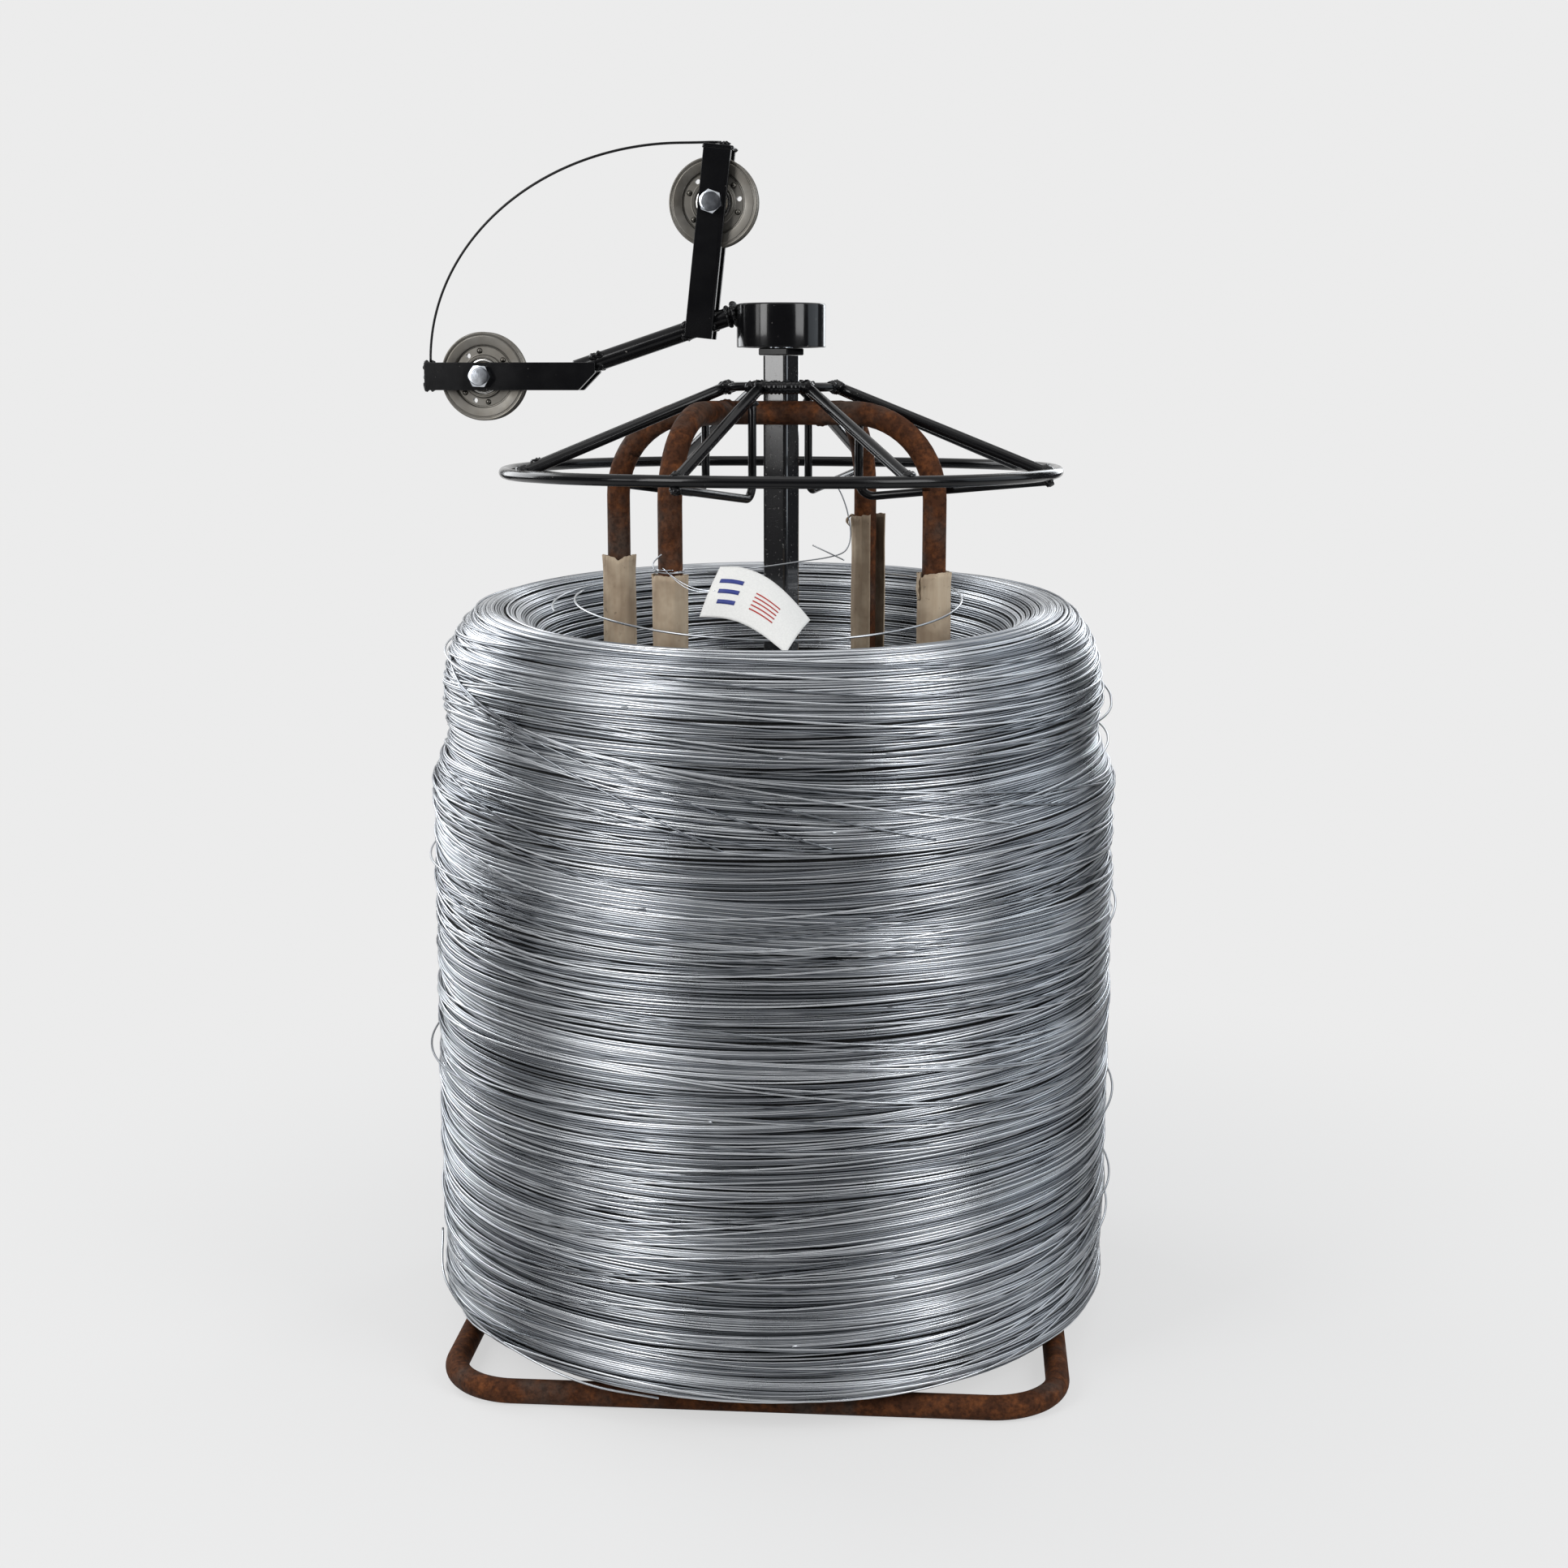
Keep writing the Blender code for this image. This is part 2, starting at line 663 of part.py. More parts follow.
def make_brace(name, azimuth, axis, guard_cutter):
    out = heading(azimuth)
    top, foot = rib_ends(azimuth)
    share = (BRACE_R - TOP_RING_R) / (GUARD_R - TOP_RING_R)
    under_rib = top.lerp(foot, share)
    corner = at_height(out * BRACE_R, BRACE_Z)
    end = at_height(out * GUARD_R, GUARD_Z - BRACE_END_DROP)
    corners = [under_rib, corner, stop_short(end, corner, THICK_ROD / 2)]
    path = bent(corners, BRACE_BEND, 4)
    brace = as_mesh(tube(name, path, THIN_ROD, ROD_SIDES, BLACK, parent=axis))
    rib_cutter = as_mesh(tube(f"{name}_cope", [top, foot], THICK_ROD + 2 * FIT, 12, parent=axis))
    boolean(brace, "DIFFERENCE", guard_cutter, rib_cutter)


def make_spoke(name, azimuth, axis, ring_cutter):
    out = heading(azimuth)
    start = at_height(out * (MAST_SIDE / 2 + FIT), TOP_RING_Z)
    end = at_height(out * TOP_RING_R, TOP_RING_Z)
    ends = [start, stop_short(end, start, THIN_ROD / 2)]
    spoke = as_mesh(tube(name, ends, THIN_ROD, ROD_SIDES, BLACK, parent=axis))
    boolean(spoke, "DIFFERENCE", ring_cutter)


def make_guard(axis):
    rod_ring("top_ring", TOP_RING_R, THIN_ROD, TOP_RING_Z, 32, BLACK, axis)
    rod_ring("guard_ring", GUARD_R, THICK_ROD, GUARD_Z, 48, BLACK, axis, RIB_AZIMUTH)
    top_cutter = rod_ring("top_ring_cope", TOP_RING_R, THIN_ROD + 2 * FIT, TOP_RING_Z, 32, parent=axis)
    guard_cutter = rod_ring(
        "guard_ring_cope", GUARD_R, THICK_ROD + 2 * FIT, GUARD_Z, 48, parent=axis, turn=RIB_AZIMUTH
    )
    for k in range(RIB_COUNT):
        azimuth = RIB_AZIMUTH + 360 / RIB_COUNT * k
        make_rib(f"rib_{k + 1}", azimuth, axis, (top_cutter, guard_cutter))
        if k % 2 == 0:
            make_brace(f"brace_{k // 2 + 1}", azimuth, axis, guard_cutter)
    for k in range(4):
        make_spoke(f"spoke_{k + 1}", MAST_TURN + 90 * k, axis, top_cutter)


def make_spindle(axis):
    profile = [
        (0, SPINDLE_TOP), (SPINDLE_R, SPINDLE_TOP), (SPINDLE_R, SHOULDER_Z),
        (SHOULDER_R, SHOULDER_Z), (SHOULDER_R, COLLAR_TOP + FIT), (0, COLLAR_TOP + FIT),
    ]
    turned("spindle", profile, HUB_SEGMENTS, BOLT_ZINC, closed=False, parent=axis)
    bore = SPINDLE_R + FIT
    top, foot = WASHER_Z + WASHER_HEIGHT, WASHER_Z
    washer = [(bore, top), (WASHER_R, top), (WASHER_R, foot), (bore, foot)]
    turned("spindle_washer", washer, HUB_SEGMENTS, BOLT_ZINC, parent=axis)
    nut = [hexagon(SPINDLE_NUT_AF), round_hole(bore, 16)]
    middle = SPINDLE_NUT_Z + SPINDLE_NUT_HEIGHT / 2
    plate(
        "spindle_nut", nut, SPINDLE_NUT_HEIGHT, BOLT_ZINC, parent=axis, location=(0, 0, middle)
    )


def hexagon(across_flats):
    return circle(across_flats / 2 / math.cos(math.pi / 6), 6)


def bearing_profile(bore, radius, foot, width):
    """Section of a sealed bearing, its seals set a little below the faces of the races."""
    seal = 0.0006
    race = (radius - bore) * 0.24
    top = foot + width
    return [
        (bore, top), (bore + race, top), (bore + race, top - seal), (radius - race, top - seal),
        (radius - race, top), (radius, top), (radius, foot), (radius - race, foot),
        (radius - race, foot + seal), (bore + race, foot + seal), (bore + race, foot), (bore, foot),
    ]


def make_hub(flyer):
    top, foot = HUB_TOP, HUB_TOP - HUB_HEIGHT
    inner = HUB_R - HUB_WALL
    rounded = arc((HUB_R - HUB_ROUND, top - HUB_ROUND), HUB_ROUND, HUB_ROUND, 90, 0, 2)
    shell = [(0, top)] + rounded + [
        (HUB_R, foot), (inner, foot), (inner, top - HUB_WALL), (0, top - HUB_WALL)
    ]
    turned("hub_shell", shell, HUB_SEGMENTS, BLACK, closed=False, parent=flyer)
    seat, outside = BEARING_R + FIT, inner - FIT
    lip_r, lip_z = BEARING_R - HOUSING_LIP, WASHER_Z
    lip_top = lip_z + WASHER_HEIGHT
    bottom = LOWER_BEARING_Z - FIT
    housing = [
        (lip_r, lip_top), (outside, lip_top), (outside, bottom), (seat, bottom), (seat, lip_z),
        (lip_r, lip_z),
    ]
    turned("bearing_housing", housing, HUB_SEGMENTS, BLACK, parent=flyer)
    places = {"hub_bearing_lower": LOWER_BEARING_Z, "hub_bearing_upper": UPPER_BEARING_Z}
    for name, foot_z in places.items():
        bore, rim, top_z = SPINDLE_R + FIT, BEARING_R, foot_z + BEARING_WIDTH
        profile = [(bore, top_z), (rim, top_z), (rim, foot_z), (bore, foot_z)]
        turned(name, profile, HUB_SEGMENTS, BEARING_STEEL, parent=flyer)


def arm_z(length):
    """Height of the arm's centre line at a distance from the spindle."""
    return HUB_TOP - ARM_ROOT - (length - HUB_R) * math.tan(math.radians(ARM_SLOPE))


def fork_z():
    return arm_z(FORK_START) - FORK_DROP


def make_arm(flyer):
    start = HUB_R - HUB_WALL * 2.5
    path = [Vector((start, 0, arm_z(start))), Vector((ARM_END, 0, arm_z(ARM_END)))]
    arm = as_mesh(tube("arm_tube", path, ARM_D, TUBE_SIDES, BLACK, parent=flyer))
    cope = turned(
        "hub_cope",
        [(0, HUB_TOP + HUB_HEIGHT), (HUB_R + FIT, HUB_TOP + HUB_HEIGHT),
         (HUB_R + FIT, HUB_TOP - 2 * HUB_HEIGHT), (0, HUB_TOP - 2 * HUB_HEIGHT)],
        HUB_SEGMENTS, closed=False, parent=flyer,
    )
    boolean(arm, "DIFFERENCE", cope)


def bar_pair(prefix, outlines, parent):
    """A fork's two bars, flat in the plane of the arm, one on each side of it."""
    for side, sign in (("front", 1), ("rear", -1)):
        plate(
            f"{prefix}_{side}", outlines, BAR_THICKNESS, BLACK, parent=parent,
            location=(0, sign * BAR_MIDDLE, 0), rotation=(90, 0, 0),
        )


def make_lower_fork(flyer):
    low, high = fork_z() - BAR_WIDTH / 2, fork_z() + BAR_WIDTH / 2
    edge = [
        (FORK_START, high), (FORK_START, low + FORK_CHAMFER), (FORK_START + FORK_CHAMFER, low),
        (FORK_TIP, low), (FORK_TIP, high),
    ]
    bar_pair("lower_fork", [edge, round_hole(BOLT_R + FIT, 16, (OUTER_PULLEY_L, fork_z()))], flyer)
    size = (BAR_THICKNESS, FORK_GAP - 2 * FIT, BAR_WIDTH)
    box(
        "lower_fork_end", size, BLACK, parent=flyer,
        location=(FORK_TIP - BAR_THICKNESS / 2, 0, fork_z()),
    )


def make_upright(flyer):
    foot = (UPRIGHT_L, 0, arm_z(UPRIGHT_L) - UPRIGHT_BELOW)
    upright = axis_empty("upright_axis", flyer, foot, (0, -UPRIGHT_LEAN, 0))
    half = BAR_WIDTH / 2
    edge = [(-half, 0), (half, 0), (half, UPRIGHT_LENGTH), (-half, UPRIGHT_LENGTH)]
    bar_pair("upright", [edge, round_hole(BOLT_R + FIT, 16, (0, UPPER_PULLEY_AT))], upright)
    size = (BAR_WIDTH, FORK_GAP + 2 * BAR_THICKNESS, CAP_THICKNESS)
    box(
        "upright_cap", size, BLACK, parent=upright,
        location=(0, 0, UPRIGHT_LENGTH + FIT + CAP_THICKNESS / 2),
    )
    return upright


def make_bow(flyer):
    """Bent wire from the tip of the fork, up and over the upper pulley onto the upright's cap."""
    lean = math.radians(UPRIGHT_LEAN)
    along = UPRIGHT_LENGTH + FIT + CAP_THICKNESS
    foot_z = arm_z(UPRIGHT_L) - UPRIGHT_BELOW
    cap_z = foot_z + along * math.cos(lean) + BAR_WIDTH / 2 * math.sin(lean)
    top = cap_z + FIT + BOW_D / 2
    base = fork_z() + BAR_WIDTH / 2 + FIT
    reach = FORK_TIP - BAR_THICKNESS / 2 - BOW_CENTRE_L
    bow = arc((BOW_CENTRE_L, base), reach, top - base, 0, 90, 20)
    path = [(x, 0, z) for x, z in bow + [(BOW_END_L, top)]]
    tube("bow_wire", path, BOW_D, 8, BLACK, parent=flyer)


def pulley_profile():
    rim, web, boss = PULLEY_WIDTH / 2, WEB / 2, BOSS_WIDTH / 2
    seat = PULLEY_BEARING_R + FIT
    upper = [(seat, boss), (BOSS_R, boss), (BOSS_R, web), (WEB_R, web), (PULLEY_R - RIM_LIP, rim),
             (PULLEY_R, rim), (GROOVE_R, 0.001)]
    lower = [(r, -z) for r, z in upper[::-1]]
    return upper + lower


def make_pulley(prefix, parent, location):
    """A pulley on its bearing, with the bolt that carries it, about the axis of an empty."""
    axis = axis_empty(f"{prefix}_axis", parent, location, (90, 0, 0))
    wheel = as_mesh(turned(prefix, pulley_profile(), PULLEY_SEGMENTS, PULLEY_STEEL, parent=axis))
    for k in range(3):
        spot = heading(-8 + 120 * k) * PULLEY_HOLES_R
        hole = cylinder(f"{prefix}_hole_{k}", PULLEY_HOLE_D / 2, 2 * WEB, 8, parent=axis, location=spot)
        boolean(wheel, "DIFFERENCE", hole)
    half = PULLEY_BEARING_WIDTH / 2
    profile = bearing_profile(BOLT_R + FIT, PULLEY_BEARING_R, -half, PULLEY_BEARING_WIDTH)
    turned(f"{prefix}_bearing", profile, 20, BEARING_STEEL, parent=axis)
    make_spacers(prefix, axis)
    make_bolt(prefix, axis)


def make_spacers(prefix, axis):
    start = PULLEY_BEARING_WIDTH / 2 + FIT
    end = FORK_GAP / 2 - FIT
    bore = BOLT_R + FIT
    for side, sign in (("front", -1), ("rear", 1)):
        high, low = max(sign * start, sign * end), min(sign * start, sign * end)
        profile = [(bore, high), (SPACER_R, high), (SPACER_R, low), (bore, low)]
        turned(f"{prefix}_spacer_{side}", profile, 20, BOLT_ZINC, parent=axis)


def make_bolt(prefix, axis):
    """Bolt head at the front, nut at the rear; the axis points to the rear."""
    face = FORK_GAP / 2 + BAR_THICKNESS + FIT
    head_z = -face - BOLT_HEAD / 2
    end = face + BOLT_NUT + BOLT_END
    head = as_mesh(plate(
        f"{prefix}_bolt", [hexagon(BOLT_AF)], BOLT_HEAD, BOLT_ZINC, parent=axis,
        location=(0, 0, head_z),
    ))
    start = -face - BOLT_HEAD / 2
    shank = cylinder(
        f"{prefix}_shank", BOLT_R, end - start, 12, parent=axis, location=(0, 0, (start + end) / 2)
    )
    boolean(head, "UNION", shank)
    plate(
        f"{prefix}_nut", [hexagon(BOLT_AF), round_hole(BOLT_R + FIT, 12)], BOLT_NUT, BOLT_ZINC,
        parent=axis, location=(0, 0, face + BOLT_NUT / 2),
    )


def make_spinner():
    toward = heading(THROUGH_AZIMUTH + 90)
    axis = axis_empty("spinner_axis", location=toward * (TUBE_R + FIT + mast_reach()))
    make_mast(axis)
    make_guard(axis)
    make_spindle(axis)
    flyer = axis_empty("flyer_axis", axis, rotation=(0, 0, FLYER_AZIMUTH))
    make_hub(flyer)
    make_arm(flyer)
    make_lower_fork(flyer)
    upright = make_upright(flyer)
    make_bow(flyer)
    make_pulley("outer_pulley", flyer, (OUTER_PULLEY_L, 0, fork_z()))
    make_pulley("upper_pulley", upright, (0, 0, UPPER_PULLEY_AT))


def main():
    make_carrier()
    make_wire_pack()
    make_winding()
    make_tag()
    make_spinner()


main()
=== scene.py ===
"""Looks of a fence wire spinner that stands in the tube carrier of a coil of fence wire.

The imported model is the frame. Each operator makes one group of pieces round it, from the
sizes in the sidebar's settings, and one makes the stage: floor, world, lamps and camera.
"""

import functools
import json
import math

import bpy
import numpy as np
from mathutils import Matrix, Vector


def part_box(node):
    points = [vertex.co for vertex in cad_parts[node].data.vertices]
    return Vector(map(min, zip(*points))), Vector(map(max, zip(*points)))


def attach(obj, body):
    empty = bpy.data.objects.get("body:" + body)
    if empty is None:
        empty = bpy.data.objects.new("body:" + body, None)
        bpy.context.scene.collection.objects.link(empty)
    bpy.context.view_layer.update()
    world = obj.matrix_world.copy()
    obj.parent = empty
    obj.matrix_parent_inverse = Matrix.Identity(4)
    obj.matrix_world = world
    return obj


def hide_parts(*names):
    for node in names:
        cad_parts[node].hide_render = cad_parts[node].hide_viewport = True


bl_info = {
    "name": "Fence wire spinner",
    "version": (1, 0, 0),
    "blender": (4, 5, 0),
    "location": "View3D > Sidebar > Wire spinner",
    "description": "Makes the finished pieces of a fence wire spinner round its packed frame",
    "category": "Object",
}

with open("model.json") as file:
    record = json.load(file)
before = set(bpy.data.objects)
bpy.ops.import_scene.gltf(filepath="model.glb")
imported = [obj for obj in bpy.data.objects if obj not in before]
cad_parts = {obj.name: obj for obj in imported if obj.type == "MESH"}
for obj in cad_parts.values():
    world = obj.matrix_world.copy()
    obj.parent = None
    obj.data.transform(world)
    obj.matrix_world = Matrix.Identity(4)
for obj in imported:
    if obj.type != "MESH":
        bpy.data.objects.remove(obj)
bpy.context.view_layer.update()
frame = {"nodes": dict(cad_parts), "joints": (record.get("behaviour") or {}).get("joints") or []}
JOINTS = {joint["name"]: joint for joint in frame["joints"]}
SPINDLE = np.array(JOINTS["hub_spin"]["pos_m"])
OUTER_PULLEY = np.array(JOINTS["outer_pulley_spin"]["pos_m"])
UPPER_PULLEY = np.array(JOINTS["upper_pulley_spin"]["pos_m"])
PULLEY_AXIS = np.array(JOINTS["outer_pulley_spin"]["axis"])
UP = np.array((0.0, 0.0, 1.0))


def metres(name, description, default):
    return bpy.props.FloatProperty(
        name=name, description=description, default=default, min=0, precision=4, unit="LENGTH"
    )


def degrees(name, description, default):
    return bpy.props.FloatProperty(
        name=name, description=description, default=math.radians(default), subtype="ANGLE"
    )


def tint(name, description, *default):
    return bpy.props.FloatVectorProperty(
        name=name, description=description, default=default, min=0, max=1, subtype="COLOR"
    )


class SPINNER_PG_carrier(bpy.types.PropertyGroup):
    """Sizes and colours of the carrier and its card sleeves."""

    tube: metres("Tube", "Outside diameter of the tube", 0.0267)
    base_side: metres("Base side", "Outer side of the base ring", 0.690)
    base_corner: metres("Base corner", "Bend radius at the ring's corners", 0.075)
    base_turn: degrees("Base turn", "Turn of the base ring on the floor", -4.4)
    leg_radius: metres("Leg radius", "Distance of each leg from the coil's axis", 0.188)
    hoop_height: metres("Hoop height", "Height of the hoops' centre line", 1.050)
    hoop_bend: metres("Hoop bend", "Bend radius at the top of a leg", 0.095)
    foot_bend: metres("Foot bend", "Bend radius at the foot of a leg", 0.060)
    through_azimuth: degrees("Through hoop", "Direction of the through hoop", -16)
    half_leg_azimuth: degrees("Half hoop leg", "Direction of the rear half hoop's leg", 54)
    half_azimuth: degrees("Half hoop plane", "Direction of the half hoops' planes", 70)
    sleeve: metres("Sleeve", "Inside diameter of a card sleeve", 0.035)
    sleeve_wall: metres("Sleeve wall", "Thickness of the card", 0.0015)
    sleeve_foot: metres("Sleeve foot", "Height where the sleeves begin", 0.080)
    rust: tint("Rust", "Main brown of the tube", 0.056, 0.021, 0.0095)
    rust_light: tint("Fresh rust", "Orange patches of fresh rust", 0.150, 0.050, 0.016)
    scale: tint("Mill scale", "Grey mill scale where the rust is thin", 0.054, 0.040, 0.032)
    card: tint("Card", "Kraft brown of the sleeves", 0.375, 0.292, 0.205)
    card_pale: tint("Pale card", "Paler fibres of the card", 0.44, 0.36, 0.262)


class SPINNER_PG_coil(bpy.types.PropertyGroup):
    """Sizes and colours of the coil, its loose wires and its tag."""

    wire: metres("Wire", "Diameter of the fence wire", 0.0025)
    radius: metres("Radius", "Outer radius of the coil", 0.3925)
    bore: metres("Bore", "Radius of the coil's bore", 0.257)
    crest_radius: metres("Crest radius", "Radius of the crest", 0.325)
    crest: metres("Crest", "Height of the crest", 0.835)
    cap: metres("Cap height", "Height where the upper heap is widest", 0.733)
    cap_radius: metres("Cap radius", "Radius of the upper heap", 0.3775)
    waist: metres("Waist", "Height of the pinch under the upper heap", 0.695)
    waist_radius: metres("Waist radius", "Radius at the pinch", 0.371)
    side_top: metres("Side top", "Height where the side leans in to the waist", 0.655)
    furrow: metres("Furrow", "Depth of the furrows between heaps of turns", 0.004)
    foot: metres("Foot", "Height of the lowest turns", 0.0275)
    lean: metres("Lean", "How much lower the crest is at the front", 0.0185)
    pitch: metres("Pitch", "Spacing of the turns under the cover", 0.0030)
    zinc: tint("Zinc", "Bright zinc of the wire", 0.57, 0.59, 0.615)
    zinc_dull: tint("Dull zinc", "Weathered zinc of the wire", 0.190, 0.203, 0.222)
    tag_length: metres("Tag length", "Length of the card tag", 0.100)
    tag_width: metres("Tag width", "Width of the card tag", 0.057)
    tag: tint("Tag", "White of the card tag", 0.70, 0.70, 0.685)


class SPINNER_PG_spinner(bpy.types.PropertyGroup):
    """Sizes and colours of the black frame, the flyer and its pulleys."""

    thin_rod: metres("Thin rod", "Diameter of braces, spokes and top ring", 0.0095)
    thick_rod: metres("Thick rod", "Diameter of ribs and guard ring", 0.0127)
    top_ring: metres("Top ring", "Radius of the top ring", 0.067)
    top_height: metres("Top ring height", "Height of the top ring", 1.079)
    guard: metres("Guard ring", "Radius of the guard ring", 0.317)
    guard_height: metres("Guard ring height", "Height of the guard ring", 0.984)
    rib_azimuth: degrees("First rib", "Direction of the first rib", -20)
    mast_turn: degrees("Mast turn", "Turn of the square mast", -31)
    mast_side: metres("Mast side", "Side of the square mast", 0.03175)
    brace_radius: metres("Brace radius", "Distance of the braces' posts", 0.094)
    brace_height: metres("Brace height", "Height of the braces' corners", 0.955)
    brace_bend: metres("Brace bend", "Bend radius of a brace", 0.018)
    hub: metres("Hub", "Diameter of the hub", 0.1016)
    hub_height: metres("Hub height", "Height of the hub", 0.049)
    hub_wall: metres("Hub wall", "Wall of the hub", 0.00635)
    arm: metres("Arm", "Diameter of the arm's tube", 0.0213)
    arm_root: metres("Arm root", "Arm's middle below the top of the hub", 0.011)
    arm_end: metres("Arm end", "Distance of the arm's end from the spindle", 0.240)
    arm_slope: degrees("Arm slope", "Fall of the arm", 18.2)
    bow: metres("Bow wire", "Diameter of the bow wire", 0.0030)
    bow_centre: metres("Bow centre", "Distance of the bow's centre", 0.116)
    pulley: metres("Pulley", "Radius of a pulley", 0.0508)
    pulley_width: metres("Pulley width", "Width of a pulley's rim", 0.016)
    bolt_flats: metres("Bolt", "Width of a bolt head across its flats", 0.0238)
    bolt_head: metres("Bolt head", "Height of a bolt head", 0.0099)
    fork_gap: metres("Fork gap", "Space between the two bars of a fork", 0.0219)
    bar: metres("Bar", "Thickness of a fork's bar", 0.00635)
    paint: tint("Paint", "Gloss black of the frame", 0.0035, 0.0035, 0.004)
    steel: tint("Steel", "Satin steel of the pulleys", 0.150, 0.143, 0.130)
    bolt_zinc: tint("Bolt zinc", "Bright zinc of the bolts", 0.62, 0.66, 0.72)


class SPINNER_PG_stage(bpy.types.PropertyGroup):
    """Camera, lamps and floor."""

    backdrop: tint("Backdrop", "Pale grey of floor and backdrop", 0.838, 0.838, 0.838)
    camera_height: metres("Camera height", "Height of the camera", 1.085)
    camera_distance: metres("Camera distance", "Distance of the camera", 2.520)
    camera_shift: metres("Camera offset", "Camera to the right of the coil", 0.0121)
    camera_tilt: degrees("Camera tilt", "How far the camera looks down", 10.41)
    lens: bpy.props.FloatProperty(
        name="Lens", description="Focal length in millimetres", default=50.31, min=1
    )


def settings(group):
    return getattr(bpy.context.scene, f"wire_spinner_{group}")


def corner(node, which):
    """Lowest (0) or highest (1) corner of a node of the frame."""
    return np.array(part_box(node)[which])


def middle(node):
    return (corner(node, 0) + corner(node, 1)) / 2


def unit(vectors):
    return vectors / np.linalg.norm(vectors, axis=-1, keepdims=True)


def heading(angle):
    """Level unit vectors; an angle is in radians from +X towards +Y."""
    angle = np.asarray(angle, float)
    return np.stack([np.cos(angle), np.sin(angle), 0 * angle], -1)


def raised(vector, height):
    return np.array((vector[0], vector[1], height))


def polar(centre, radius, angle, height):
    """Points round an upright line through a centre, their angles in radians."""
    radius, angle, height = np.broadcast_arrays(radius, angle, height)
    return raised(centre, 0.0) + radius[..., None] * heading(angle) + height[..., None] * UP


def circle(count):
    """Angles that divide a full turn."""
    return np.linspace(0, 2 * np.pi, count, endpoint=False)


def spokes(axis, angle):
    """Unit vectors square to an axis, at angles round it."""
    across = unit(np.cross(axis, UP if abs(axis[2]) < 0.9 else (1.0, 0.0, 0.0)))
    angle = np.asarray(angle)[..., None]
    return np.cos(angle) * across + np.sin(angle) * np.cross(axis, across)


def wave(parameter, seed, reach, slow, fast, count=7):
    """Smooth wander: a sum of sines of unlike pace and phase, about reach high."""
    dice = np.random.default_rng(seed)
    pace = dice.uniform(slow, fast, count)[:, None]
    phase = dice.uniform(0, 2 * np.pi, count)[:, None]
    size = dice.uniform(0.5, 1.0, count)[:, None] * reach * 1.6 / math.sqrt(count)
    return (size * np.sin(2 * np.pi * pace * parameter + phase)).sum(0)


def patch(grid, wrap=(False, True), caps=False):
    """Points, corners and face sizes of a grid whose points are joined to their neighbours.

    wrap joins the last row or column to the first. Faces of a closed form point outwards,
    because they are turned round if the volume that they hold comes out negative.
    """
    rows, columns = grid.shape[:2]
    index = np.arange(rows * columns).reshape(rows, columns)
    lids = [index[0], index[-1][::-1]] if caps else []
    index = np.pad(index, [(0, int(joined)) for joined in wrap], mode="wrap")
    quads = np.stack([index[:-1, :-1], index[1:, :-1], index[1:, 1:], index[:-1, 1:]], -1)
    quads = quads.reshape(-1, 4)
    points = grid.reshape(-1, 3)
    a, b, c, d = np.moveaxis((points - points.mean(0))[quads], 1, 0)
    if (a * (np.cross(b, c) + np.cross(c, d))).sum() < 0:
        quads, lids = quads[:, ::-1], [lid[::-1] for lid in lids]
    corners = np.concatenate([quads.ravel(), *lids])
    return points, corners, np.array([4] * len(quads) + [len(lid) for lid in lids])


def sheet(grid):
    """An open surface: a grid that is joined to itself nowhere."""
    return patch(grid, wrap=(False, False))


def mesh_from(name, patches):
    """One mesh of one or more patches."""
    starts = np.cumsum([0] + [len(points) for points, _, _ in patches])
    points = np.concatenate([part[0] for part in patches])
    corners = np.concatenate([part[1] + start for part, start in zip(patches, starts)])
    sizes = np.concatenate([part[2] for part in patches])
    mesh = bpy.data.meshes.new(name)
    mesh.vertices.add(len(points))
    mesh.vertices.foreach_set("co", points.astype(np.float32).ravel())
    mesh.loops.add(len(corners))
    mesh.loops.foreach_set("vertex_index", corners.astype(np.int32))
    mesh.polygons.add(len(sizes))
    mesh.polygons.foreach_set("loop_start", (np.cumsum(sizes) - sizes).astype(np.int32))
    mesh.polygons.foreach_set("use_smooth", np.ones(len(sizes), bool))
    mesh.update(calc_edges=True)
    mesh.validate()
    return mesh


def add_object(name, data):
    made = bpy.data.objects.new(name, data)
    bpy.context.scene.collection.objects.link(made)
    return made


def piece(name, patches, finish, body="stand", replaces=(), sharp=None, wall=None):
    """An object in a finish, carried by a body of the frame; a wall gives a sheet thickness."""
    mesh = mesh_from(name, patches)
    if sharp is not None:
        mesh.set_sharp_from_angle(angle=math.radians(sharp))
    mesh.materials.append(material(finish))
    made = add_object(name, mesh)
    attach(made, body)
    if replaces:
        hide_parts(*replaces)
    if wall:
        solid = made.modifiers.new("wall", "SOLIDIFY")
        solid.thickness, solid.offset = wall, 0
    return made


def sweep(path, radius, sides, normal, closed=False):
    """Round form along a path: circles square to it, turned from the given normal."""
    ahead = np.roll(path, -1, 0) - np.roll(path, 1, 0) if closed else np.gradient(path, axis=0)
    side = unit(np.cross(unit(ahead), normal))
    up = np.cross(side, unit(ahead))
    angle = circle(sides)[None, :, None]
    rim = np.cos(angle) * side[:, None] + np.sin(angle) * up[:, None]
    radii = np.broadcast_to(np.asarray(radius, float), len(path))[:, None, None]
    return patch(path[:, None] + radii * rim, wrap=(closed, True), caps=not closed)


def rod(node, path, thickness, sides, normal, body="stand", closed=False):
    """A painted round bar along a path, in place of its node."""
    form = sweep(path, thickness / 2, sides, normal, closed)
    piece(f"{node}_rod", [form], "paint", body, [node])


def lathe(profile, centre, axis=UP, segments=72, closed=True):
    """Turned form: each (radius, height) of the profile goes round the axis."""
    radius, height = np.asarray(profile, float).T[..., None, None]
    grid = centre + radius * spokes(axis, circle(segments)) + height * axis
    return patch(grid, wrap=(closed, True), caps=not closed)


